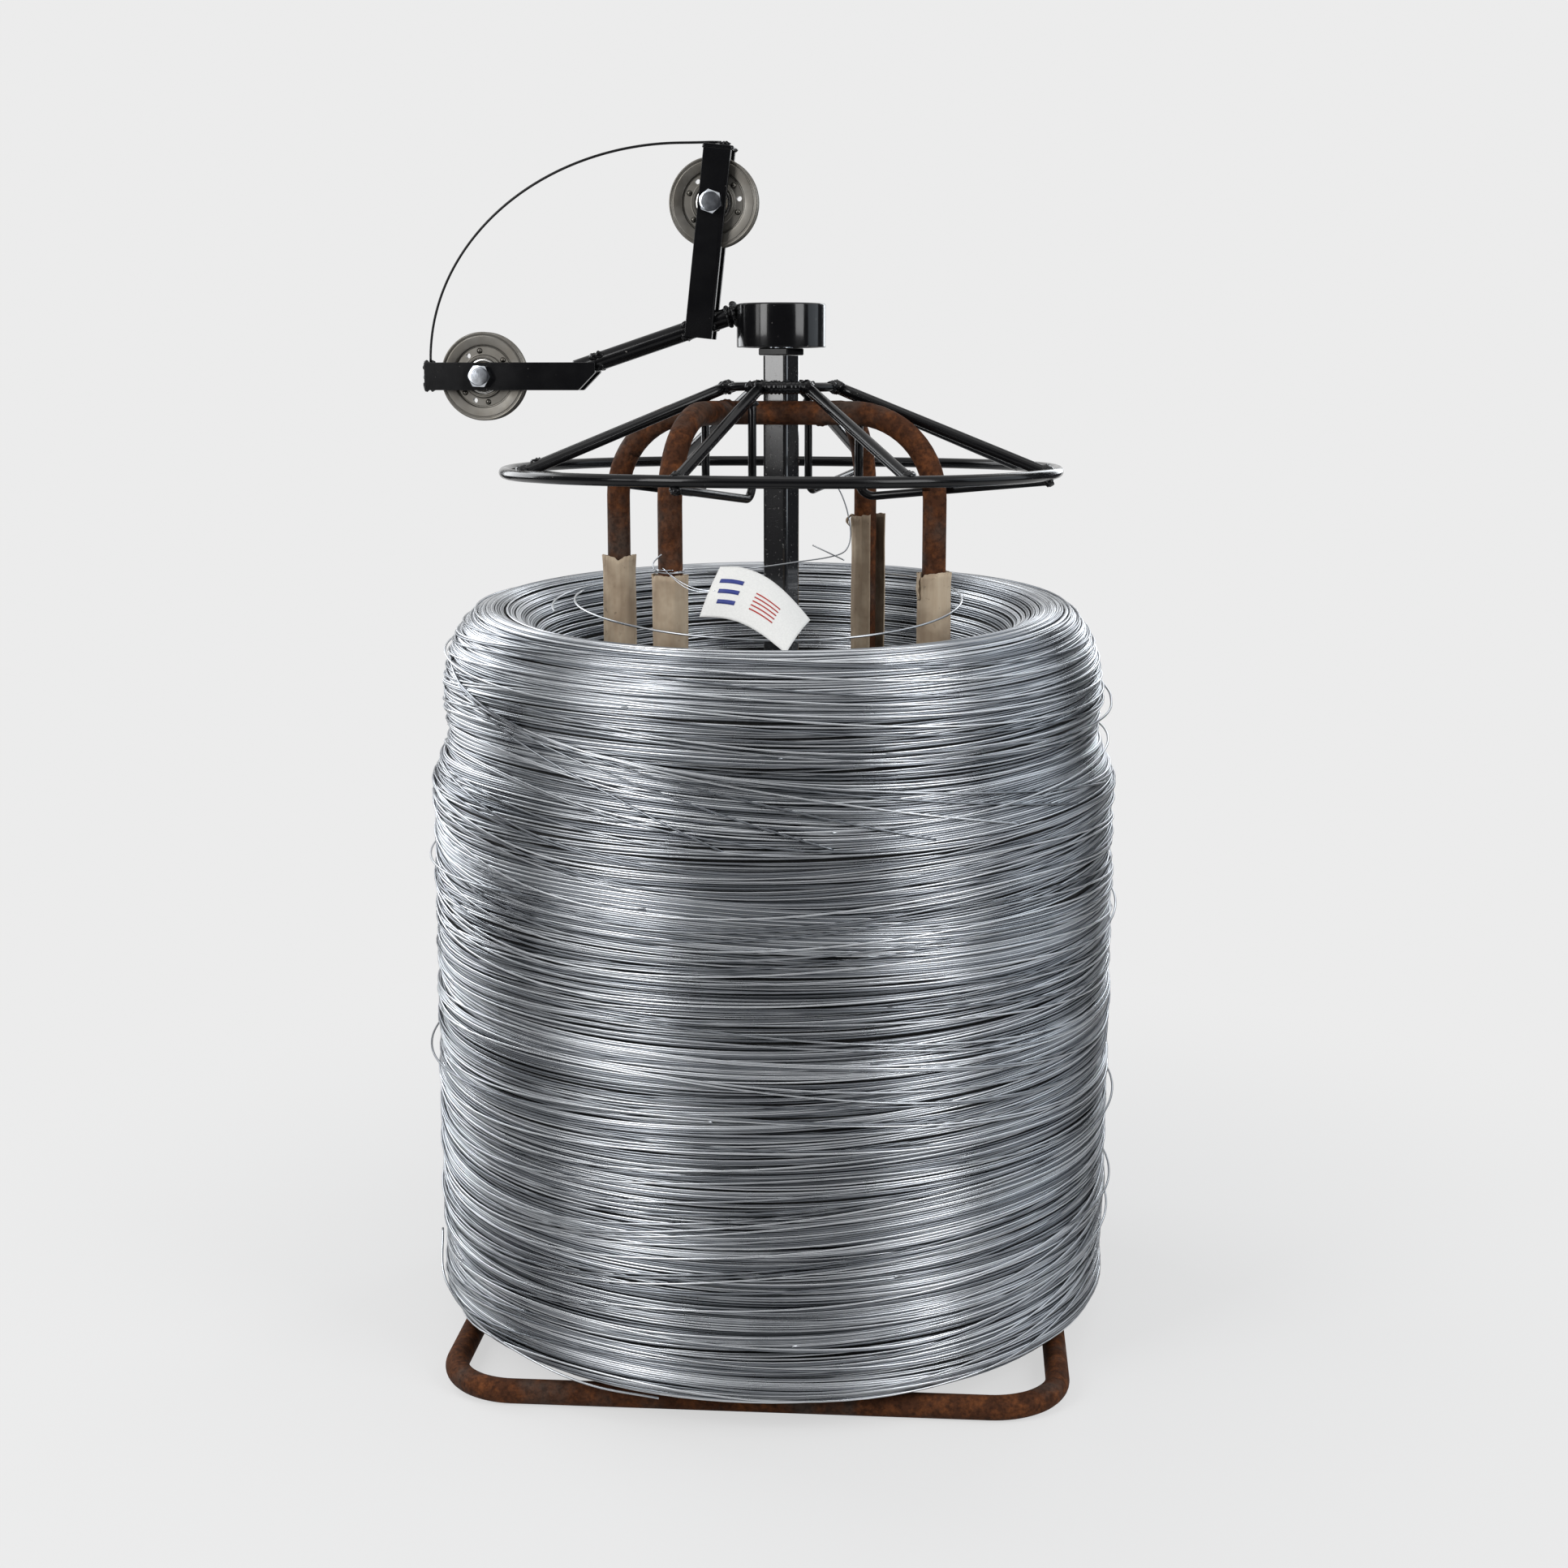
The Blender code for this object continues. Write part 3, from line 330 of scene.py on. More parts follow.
def arc(centre, a, b, start, end, steps):
    """Points of an ellipse's arc in a section, from one angle in degrees to another."""
    angle = np.radians(np.linspace(start, end, steps + 1))
    return np.stack([centre[0] + a * np.cos(angle), centre[1] + b * np.sin(angle)], -1)


def bend(before, at, after, radius, steps):
    """Arc that rounds the corner at a point: it starts on one straight and ends on the next."""
    a, b = unit(before - at), unit(after - at)
    half = math.acos(np.clip(a @ b, -1, 1)) / 2
    centre = at + unit(a + b) * radius / math.sin(half)
    start = at + a * radius / math.tan(half)
    angle = np.linspace(0, math.pi - 2 * half, steps + 1)[:, None]
    return centre + np.cos(angle) * (start - centre) - np.sin(angle) * radius * a


def lengths_along(path):
    """How far along a path each of its points is."""
    return np.concatenate([[0], np.cumsum(np.linalg.norm(np.diff(path, axis=0), axis=1))])


def densified(path, spacing=0.02):
    """The same path with points no further apart than the spacing."""
    along = lengths_along(path)
    extra = np.arange(0, along[-1], spacing)
    marks = np.unique(np.round(np.concatenate([along, extra]), 6))
    return np.stack([np.interp(marks, along, path[:, k]) for k in range(3)], -1)


def bent_run(corners, radii, steps=14):
    """A run of straights, its inner corners bent, with points all along it."""
    corners = np.array(corners)
    arcs = [bend(*corners[k : k + 3], radius, steps) for k, radius in enumerate(radii)]
    return densified(np.concatenate([corners[:1], *arcs, corners[-1:]]))


def smooth_run(points, count):
    """Smooth path through a few points: each coordinate is a cubic between its neighbours."""
    points = np.asarray(points, float)
    padded = np.concatenate([2 * points[:1] - points[1:2], points, 2 * points[-1:] - points[-2:-1]])
    place = np.linspace(0, len(points) - 1.000001, count)
    i = place.astype(int)
    t = (place - i)[:, None]
    p0, p1, p2, p3 = (padded[i + k] for k in range(4))
    return 0.5 * (
        2 * p1 + (p2 - p0) * t + (2 * p0 - 5 * p1 + 4 * p2 - p3) * t**2
        + (3 * p1 - p0 - 3 * p2 + p3) * t**3
    )


def lump(centre, radii, seed):
    """A weld's blob: a ball whose radius goes up and down by a few sines."""
    tilt = np.linspace(0.18, math.pi - 0.18, 10)[:, None]
    angle = circle(14)
    a, b, c = np.random.default_rng(seed).uniform(0, 6.28, 3)
    swell = 1 + 0.10 * np.sin(3 * angle + a + 2 * tilt) + 0.08 * np.sin(5 * tilt + 2 * angle + b)
    swell = swell + 0.06 * np.sin(4 * angle - 3 * tilt + c)
    ball = polar((0, 0), np.sin(tilt) * swell, angle, np.cos(tilt) * swell)
    return patch(centre + ball * radii, caps=True)


def bead(centre, axis, radius, thickness, seed):
    """A weld bead round a bar: a ring whose thickness ripples as it was laid."""
    angle = circle(72)
    ripple = 1 + 0.16 * np.sin(17 * angle + seed) + wave(angle / (2 * np.pi), seed, 0.12, 0.6, 5)
    return sweep(centre + radius * spokes(axis, angle), thickness * ripple, 10, axis, closed=True)


def feed(tree, socket, value):
    """Links a socket, or sets its value; a colour gets its fourth number."""
    if isinstance(value, bpy.types.NodeSocket):
        tree.links.new(value, socket)
    else:
        socket.default_value = (*value, 1) if socket.type == "RGBA" else value


def add_node(tree, kind, inputs=(), output=0, **choices):
    """One output of a new node, whose inputs are set or linked."""
    node = tree.nodes.new(f"ShaderNode{kind}")
    for name, value in choices.items():
        setattr(node, name, value)
    for name, value in dict(inputs).items():
        feed(tree, node.inputs[name], value)
    return node.outputs[output]


class Finish:
    """A Principled material, with shorthand for the nodes that feed it."""

    def __init__(self, name, colour, roughness, metallic=0.0):
        self.material = bpy.data.materials.new(name)
        self.material.use_nodes = True
        self.tree = self.material.node_tree
        self.shader = self.tree.nodes["Principled BSDF"]
        self.place = add_node(self.tree, "TexCoord", output="Object")
        self.feed({"Base Color": colour, "Roughness": roughness, "Metallic": metallic})

    def feed(self, inputs):
        for name, value in inputs.items():
            feed(self.tree, self.shader.inputs[name], value)

    def noise(self, scale, detail=4.0, stretch=(1, 1, 1), roughness=0.55, shift=0.0):
        inputs = {"Vector": self.place, "Scale": stretch, "Location": (shift,) * 3}
        place = add_node(self.tree, "Mapping", inputs)
        inputs = {"Vector": place, "Scale": scale, "Detail": detail, "Roughness": roughness}
        return add_node(self.tree, "TexNoise", inputs)

    def ramp(self, source, *stops):
        """Two colours or greys, each at a place from 0 to 1."""
        made = add_node(self.tree, "ValToRGB", {"Fac": source})
        for element, (place, colour) in zip(made.node.color_ramp.elements, stops):
            element.position = place
            element.color = (*(colour if hasattr(colour, "__len__") else (colour,) * 3), 1)
        return made

    def mix(self, share, first, second, blend="MIX"):
        inputs = {0: share, 6: first, 7: second}
        return add_node(self.tree, "Mix", inputs, 2, data_type="RGBA", blend_type=blend)

    def bump(self, source, strength, distance):
        """One more bump, on top of those already there."""
        normal = self.shader.inputs["Normal"]
        inputs = {"Height": source, "Strength": strength, "Distance": distance}
        if normal.links:
            inputs["Normal"] = normal.links[0].from_socket
        feed(self.tree, normal, add_node(self.tree, "Bump", inputs))


def rust_finish():
    """Brown rust with fresh orange patches and thin grey where the mill scale shows."""
    carrier = settings("carrier")
    look = Finish("rusty_tube", carrier.rust, 0.72)
    fresh = look.ramp(look.noise(60, 8, roughness=0.7), (0.47, 0.0), (0.66, 0.8))
    grey = look.ramp(look.noise(16, 6, shift=4.0), (0.52, 0.0), (0.68, 0.8))
    speckle = look.ramp(look.noise(190, 4, shift=9.0), (0.36, 0.45), (0.56, 1.0))
    colour = look.mix(grey, look.mix(fresh, carrier.rust, carrier.rust_light), carrier.scale)
    look.feed({
        "Base Color": look.mix(0.8, colour, speckle, "MULTIPLY"),
        "Roughness": look.ramp(grey, (0.0, 0.85), (1.0, 0.60)),
        "Specular IOR Level": 0.12,
    })
    look.bump(look.noise(90, 5), 0.35, 0.0010)
    look.bump(look.noise(420, 3), 0.4, 0.0004)
    return look.material


def card_finish():
    """Kraft card: fine fibres along its height, stains and rubbed dark patches."""
    carrier = settings("carrier")
    look = Finish("kraft_card", carrier.card, 0.88)
    fibre = look.noise(160, 4, stretch=(1, 1, 0.12))
    stain = look.ramp(look.noise(17, 4, shift=2.0), (0.42, (0.62, 0.58, 0.55)), (0.60, 1.0))
    spots = look.ramp(look.noise(120, 2, shift=7.0), (0.25, 0.45), (0.34, 1.0))
    pale = look.ramp(fibre, (0.3, 0.0), (0.7, 1.0))
    colour = look.mix(1.0, look.mix(pale, carrier.card, carrier.card_pale), stain, "MULTIPLY")
    look.feed({"Base Color": look.mix(0.6, colour, spots, "MULTIPLY")})
    look.bump(fibre, 0.25, 0.0006)
    look.bump(look.noise(26, 3), 0.35, 0.0030)
    return look.material


def wire_finish():
    """Galvanised wire: bright and dull zinc in turn, with fine spangle."""
    coil = settings("coil")
    look = Finish("galvanised_wire", coil.zinc, 0.3, 1.0)
    tone = add_node(look.tree, "Attribute", output="Fac", attribute_name="strand")
    share = look.ramp(look.mix(0.22, tone, look.noise(22, 3)), (0.34, 0.0), (0.68, 1.0))
    look.feed({
        "Base Color": look.mix(share, coil.zinc_dull, coil.zinc),
        "Roughness": look.ramp(look.noise(14, 2, shift=3.0), (0.35, 0.26), (0.65, 0.36)),
    })
    look.bump(look.noise(160, 2), 0.04, 0.0003)
    return look.material


def shade_core_finish():
    """Painted shade between the turns: the wire under the cover is coloured near-black, standing in for
    the shadow that falls there.
    """
    # Near-black base colour: painted shade, not the colour of the zinc wire underneath.
    look = Finish("coil_shade_core", (0.020, 0.022, 0.025), 0.6, 0.6)
    grain = look.noise(260, 3, stretch=(1, 1, 8))
    # The ramp from 0.004 to 0.035 keeps the painted shade dark, with a little variation.
    look.feed({"Base Color": look.ramp(grain, (0.3, 0.004), (0.8, 0.035))})
    return look.material


def paint_finish(name, coat):
    """Thick gloss black paint, with dust and a few chips down to grey primer."""
    paint = settings("spinner").paint
    look = Finish(name, paint, 0.2)
    chips = look.ramp(look.noise(230, 3), (0.735, 0.0), (0.750, 1.0))
    dust = look.ramp(look.noise(9, 4, shift=5.0), (0.45, 0.0), (0.75, 0.25))
    dusty = look.mix(dust, paint, (0.012, 0.012, 0.013))
    look.feed({
        "Base Color": look.mix(chips, dusty, (0.16, 0.15, 0.14)),
        "Roughness": look.ramp(look.noise(22, 4, shift=1.0), (0.35, 0.14), (0.70, 0.28)),
        "Specular IOR Level": 0.13, "Coat Weight": coat, "Coat Roughness": 0.08,
    })
    look.bump(look.noise(60, 3), 0.10, 0.0008)
    look.bump(look.noise(300, 2), 0.06, 0.0003)
    return look.material


def mast_finish():
    """The mast's paint: gloss black with many small specks."""
    paint = settings("spinner").paint
    look = Finish("mast_paint", paint, 0.16)
    specks = look.noise(330, 3, shift=6.0)
    dull = look.ramp(specks, (0.66, 0.0), (0.68, 1.0))
    look.feed({
        "Base Color": look.mix(dull, paint, (0.10, 0.095, 0.09)),
        "Roughness": look.ramp(specks, (0.66, 0.16), (0.68, 0.6)),
        "IOR": 1.7, "Coat Weight": 1.0, "Coat Roughness": 0.06,
    })
    look.bump(look.noise(14, 2), 0.12, 0.0010)
    return look.material


def steel_finish(name, colour, roughness, rub):
    """Plated steel, rubbed and a little stained."""
    look = Finish(name, colour, roughness, 1.0)
    stain = look.ramp(look.noise(38, 5), (0.35, (0.84, 0.82, 0.79)), (0.62, 1.0))
    rust = look.ramp(look.noise(60, 5, shift=8.0), (0.74, 0.0), (0.84, 0.4))
    rubbed = (0.3, roughness * rub), (0.7, roughness * 1.15)
    look.feed({
        "Base Color": look.mix(rust, look.mix(1.0, colour, stain, "MULTIPLY"), (0.24, 0.14, 0.08)),
        "Roughness": look.ramp(look.noise(70, 4), *rubbed),
    })
    look.bump(look.noise(500, 2), 0.05, 0.0002)
    return look.material


def plain_finish(name, colour, roughness, metallic=0.0, grain=300):
    """A plain finish whose tone and roughness still vary a little."""
    look = Finish(name, colour, roughness, metallic)
    tone = look.ramp(look.noise(grain, 3), (0.2, 0.86), (0.8, 1.0))
    varied = (0.3, roughness * 0.85), (0.7, roughness * 1.15)
    look.feed({
        "Base Color": look.mix(1.0, colour, tone, "MULTIPLY"),
        "Roughness": look.ramp(look.noise(grain / 4, 3), *varied),
    })
    return look.material


def ink_finish(name, colour):
    return plain_finish(name, colour, 0.6, grain=600)


FINISHES = {
    "rust": ("rusty_tube", rust_finish),
    "card": ("kraft_card", card_finish),
    "wire": ("galvanised_wire", wire_finish),
    # The coil's core finish is painted shade, not a colour of the wire.
    "core": ("galvanised_wire", shade_core_finish),
    "tie": ("galvanised_wire", lambda: material("zinc")),
    "paint": ("black_paint", lambda: paint_finish("black_paint", 0.17)),
    "gloss": ("black_paint", lambda: paint_finish("hub_paint", 0.42)),
    "mast": ("black_paint", mast_finish),
    "steel": ("satin_steel", lambda: steel_finish("satin_steel", settings("spinner").steel, 0.46, 0.85)),
    "rivet": ("satin_steel", lambda: steel_finish("rivet_steel", (0.10, 0.095, 0.085), 0.30, 0.85)),
    "zinc": ("zinc_bolt", lambda: steel_finish("zinc_bolt", settings("spinner").bolt_zinc, 0.24, 0.5)),
    "race": ("bearing_steel", lambda: plain_finish("bearing_steel", (0.45, 0.44, 0.42), 0.25, 1.0)),
    "seal": ("bearing_steel", lambda: plain_finish("bearing_seal", (0.16, 0.13, 0.09), 0.5)),
    "tag": ("white_card", lambda: ink_finish("white_card", settings("coil").tag)),
    "blue": ("white_card", lambda: ink_finish("blue_ink", (0.020, 0.035, 0.20))),
    "red": ("white_card", lambda: ink_finish("red_ink", (0.42, 0.030, 0.025))),
}


@functools.cache
def material(finish):
    """Each finish's material is made once, when a piece first needs it."""
    return FINISHES[finish][1]()


def dress(nodes, finish, edge=None):
    """A better finish on nodes of the frame, whose edges may get a small round."""
    for name in nodes:
        node = frame["nodes"][name]
        node.data.materials.clear()
        node.data.materials.append(material(finish))
        if edge:
            node.modifiers.new("weld", "WELD").merge_threshold = 0.00001
            bevel = node.modifiers.new("edges", "BEVEL")
            bevel.width, bevel.segments, bevel.harden_normals = edge, 2, True
            bevel.limit_method, bevel.angle_limit = "ANGLE", math.radians(35)


def base_half():
    """Half a side of the base ring's centre line."""
    carrier = settings("carrier")
    return (carrier.base_side - carrier.tube) / 2


def turned(points, angle):
    """Flat points turned round the origin, from +X towards +Y."""
    return points @ heading((angle, angle + math.pi / 2))[:, :2]


def to_base(start, direction):
    """Where a foot that runs out from a leg meets the base ring's centre line."""
    turn = -settings("carrier").base_turn
    local, run = turned(start[:2], turn), turned(direction[:2], turn)
    return start + direction * np.min((np.sign(run) * base_half() - local) / run)


def legs():
    """Each leg's place on the floor."""
    carrier = settings("carrier")
    through = heading(carrier.through_azimuth) * carrier.leg_radius
    half = heading(carrier.half_leg_azimuth) * carrier.leg_radius
    return {"front_left": -half, "front_right": through, "rear_left": -through, "rear_right": half}


class SPINNER_OT_carrier(bpy.types.Operator):
    """Rusty carrier: base ring, through hoop and two half hoops of bent tube"""

    bl_idname = "wire_spinner.carrier"
    bl_label = "Carrier"

    bead_place = 0.92  # from a tube's middle to the bead, as a share of its radius
    bead_floor = 0.0003

    def execute(self, context):
        carrier = settings("carrier")
        top, foot = carrier.hoop_height, carrier.tube / 2
        run, inward = heading(carrier.through_azimuth), heading(carrier.half_azimuth)
        place = legs()
        self.base_ring()
        front, rear = place["front_right"], place["rear_left"]
        ends = to_base(front, run), to_base(rear, -run)
        self.hoop("hoop_through", run, (ends[1], rear, rear, front, front, ends[0]), (0, 0, 1, 1, 0, 0))
        beads = []
        for sign, half, side in ((1, "front", "front_left"), (-1, "rear", "rear_right")):
            leg, way = place[side], sign * inward
            meet, end = self.crossing(leg, way), to_base(leg, -way)
            self.hoop(f"hoop_half_{half}", way, (meet, leg, leg, end), (1, 1, 0, 0))
            beads.append(self.weld(raised(meet, top), -way, inward, 0.0022, 3 + sign))
            beads.append(self.weld(raised(end, foot), way, inward, 0.0020, 8 + sign))
        for sign, end in zip((1, -1), ends):
            beads.append(self.weld(raised(end, foot), -sign * run, run, 0.0020, 12 + sign))
        for points, _, _ in beads:
            points[:, 2] = np.maximum(points[:, 2], self.bead_floor)
        piece("carrier_welds", beads, "rust")
        return {"FINISHED"}

    def base_ring(self):
        """A square with its corners bent, turned on the floor."""
        carrier = settings("carrier")
        flat = turned(np.array(((1, 1), (-1, 1), (-1, -1), (1, -1))) * base_half(), carrier.base_turn)
        corners = [raised(at, corner("base_ring", 1)[2] / 2) for at in flat]
        arcs = [
            bend(corners[k - 1], corners[k], corners[(k + 1) % 4], carrier.base_corner, 18)
            for k in range(4)
        ]
        ring = sweep(np.concatenate(arcs), carrier.tube / 2 * 0.985, 28, UP, closed=True)
        piece("base_ring_tube", [ring], "rust", replaces=["base_ring"])

    def crossing(self, leg, inward):
        """Where a half hoop's top meets the through hoop's centre line."""
        normal = np.cross(UP, heading(settings("carrier").through_azimuth))
        return leg - inward * (leg @ normal) / (inward @ normal)

    def hoop(self, name, run, places, highs):
        """A bent tube through places that are high, at the top, or low, at the foot."""
        carrier = settings("carrier")
        heights = carrier.tube / 2, carrier.hoop_height
        corners = [raised(place, heights[high]) for place, high in zip(places, highs)]
        radii = [(carrier.foot_bend, carrier.hoop_bend)[high] for high in highs[1:-1]]
        tube = sweep(bent_run(corners, radii), carrier.tube / 2, 28, np.cross(run, UP))
        piece(f"{name}_tube", [tube], "rust", replaces=[name])

    def weld(self, at, way, axis, thickness, seed):
        """A bead round a tube that ends at the middle of another."""
        radius = settings("carrier").tube / 2
        return bead(at + way * radius * self.bead_place, axis, radius, thickness, seed)


class SPINNER_OT_sleeves(bpy.types.Operator):
    """Split kraft card sleeves with torn tops, one on each leg"""

    bl_idname = "wire_spinner.sleeves"
    bl_label = "Card sleeves"

    # Each sleeve's slit: its direction and its width, in degrees.
    slits = {
        "front_left": (100, 60), "front_right": (80, 60), "rear_left": (95, 60), "rear_right": (-40, 84)
    }

    def execute(self, context):
        for seed, side in enumerate(self.slits):
            self.sleeve(side, seed)
        self.strips()
        return {"FINISHED"}

    def centre(self, side):
        """A sleeve leans on its leg: its middle is off the leg's, towards its slit."""
        carrier = settings("carrier")
        shift = (carrier.sleeve - carrier.tube) / 2 - 0.0008
        return legs()[side] + heading(math.radians(self.slits[side][0])) * shift

    def strips(self):
        """Torn strips that hang from the tops of two sleeves: bent out, ragged and tapering."""
        inner = settings("carrier").sleeve / 2
        down, across = np.meshgrid(np.linspace(0, 1, 24), np.linspace(-1, 1, 7), indexing="ij")
        sheets = []
        for side, azimuth, width, length, curl in (
            ("front_right", 206, 0.0034, 0.030, 0.0035), ("rear_right", 186, 0.0026, 0.013, 0.0060)
        ):
            height = corner(f"leg_sleeve_{side}", 1)[2] - 0.0015 - length * down + 0.001 * across
            taper = (1 - 0.5 * down**2) * (1 + 0.18 * np.sin(17 * down + azimuth))
            angle = math.radians(azimuth) + across * width * taper / 0.019 + 0.10 * down
            reach = inner + 0.0018 + curl * np.sin(2.6 * down) * (1 + 0.3 * across)
            sheets.append(sheet(polar(self.centre(side), reach, angle, height)))
        piece("sleeve_strips", sheets, "card", wall=0.0010)

    def sleeve(self, side, seed):
        """A C round the leg: the radius is dented by sines, and its top edge is torn by others."""
        carrier = settings("carrier")
        node, (mouth, slit) = f"leg_sleeve_{side}", self.slits[side]
        around = np.linspace(0, 1, 64)
        up = np.linspace(0, 1, 110)[:, None] ** 0.8
        angle = np.radians(mouth + slit / 2 + (360 - slit) * around)
        torn = wave(around, 40 + seed, 0.0009, 0.4, 2.5) + wave(around, 60 + seed, 0.0004, 6, 20, 11)
        torn = torn - 0.0015 - 0.004 * np.exp(-((around - 0.25 - 0.12 * seed) / 0.035) ** 2)
        height = carrier.sleeve_foot + up * (corner(node, 1)[2] + torn - carrier.sleeve_foot)
        dent = 0.0007 * np.sin(3 * angle + 9 * up + seed) + 0.0005 * np.sin(7 * angle - 31 * up)
        edge = np.clip(np.abs(around - 0.5) * 2 - 0.75, 0, 1) / 0.25
        flare = 0.0030 * edge**2 * (0.4 + 0.6 * up)
        crumple = 0.0012 * np.exp(-((1 - up) / 0.02)) * np.sin(11 * angle + seed)
        radius = carrier.sleeve / 2 + 0.0004 + np.abs(dent) * 0.8 + flare + np.abs(crumple)
        card = sheet(polar(self.centre(side), radius, angle, height))
        piece(f"{node}_card", [card], "card", replaces=[node], wall=carrier.sleeve_wall)


class Section:
    """The coil's face in section, as points, lengths along them and outward normals."""

    heaps = 13
    rise = 0.35  # the steep side of a furrow, as a share of a heap

    def __init__(self, depth=0.0):
        """From below: rounded foot, side, dome, mouth and bore, moved in by a depth."""
        coil = settings("coil")
        foot, lip = 0.025, 0.07  # heights of the rounded foot and of the rounded mouth
        edge = arc((coil.radius - foot, coil.foot + foot), foot, foot, -90, 0, 12)
        side = self.side(coil.foot + foot)
        shoulder = coil.cap_radius - coil.crest_radius
        dome = arc((coil.crest_radius, coil.cap), shoulder, coil.crest - coil.cap, 0, 90, 30)
        inside = coil.crest_radius - coil.bore
        mouth = arc((coil.crest_radius, coil.crest - lip), inside, lip, 90, 180, 24)
        bore = np.linspace((coil.bore, coil.crest - lip - 0.005), (coil.bore, coil.foot), 30)
        points = np.concatenate([edge, side[1:], dome, mouth[1:], bore])
        run = unit(np.gradient(points, axis=0))
        self.normal = np.stack([run[:, 1], -run[:, 0]], -1)
        self.points = points - self.normal * depth
        self.along = lengths_along(points)
        self.crest = self.along[len(edge) + len(side) + len(dome) - 2]

    def side(self, low):
        """Radius and height up the side: rounded furrows, then a pinch under the upper heap."""
        coil = settings("coil")
        height = np.linspace(low, coil.cap - 0.001, 260)
        heap = (coil.side_top - low) / self.heaps
        order = np.arange(1, self.heaps)
        bottoms = low + heap * (order + 0.2 * np.sin(2.4 * order))
        starts = np.concatenate([[low - heap], bottoms[:-1] + heap * self.rise])
        radius = np.full(260, coil.radius)
        for start, bottom in zip(starts, bottoms):
            stops = (start, bottom, bottom + heap * self.rise)
            radius -= coil.furrow * np.interp(height, stops, (0, 1, 0), left=0, right=0) ** 1.5
        leans = (0, coil.radius - coil.waist_radius, coil.radius - coil.cap_radius)
        radius -= np.interp(height, (coil.side_top - 0.01, coil.waist, coil.cap), leans)
        soft = np.convolve(np.pad(radius, 4, mode="edge"), np.ones(9) / 9, "valid")
        return np.stack([soft, height], -1)

    def at(self, distance, stand):
        """Radius and height at distances along the face, stood off along its normal."""
        face = np.concatenate([self.points, self.normal], 1).T
        radius, height, out, up = (np.interp(distance, self.along, column) for column in face)
        return radius + out * stand, height + up * stand


def slumped(points):
    """The coil stands with its top lower at the front: height changes with depth and height."""
    coil = settings("coil")
    share = (points[..., 2] - coil.foot) / (coil.crest - coil.foot)
    return points + (coil.lean * points[..., 1] / coil.crest_radius * share)[..., None] * UP


def strand(section, angle, distance, stand, seed, tone=0.5):
    """A wire round the coil, with a tone for each point.

    Its section, in the plane through the coil's axis, is a hexagon.
    """
    wire, rim = settings("coil").wire / 2, circle(6)
    radius, height = section.at(distance, stand)
    swell = 0.0006 * np.sin(2 * angle + 6 * height) + 0.0005 * np.sin(3 * angle - 11 * height + 1)
    out = (radius + swell)[:, None] + wire * np.cos(rim)
    grid = polar((0, 0), out, angle[:, None], height[:, None] + wire * np.sin(rim))
    tones = tone + wave(angle / (2 * np.pi), seed, 0.30, 0.3, 1.7)
    return patch(slumped(grid), caps=True), np.repeat(tones, len(rim))


def strands(name, parts, replaces=()):
    """One piece of several wires, each point with its tone."""
    made = piece(name, [part for part, _ in parts], "wire", replaces=replaces)
    tone = made.data.attributes.new("strand", "FLOAT", "POINT")
    tone.data.foreach_set("value", np.concatenate([tones for _, tones in parts]).astype(np.float32))


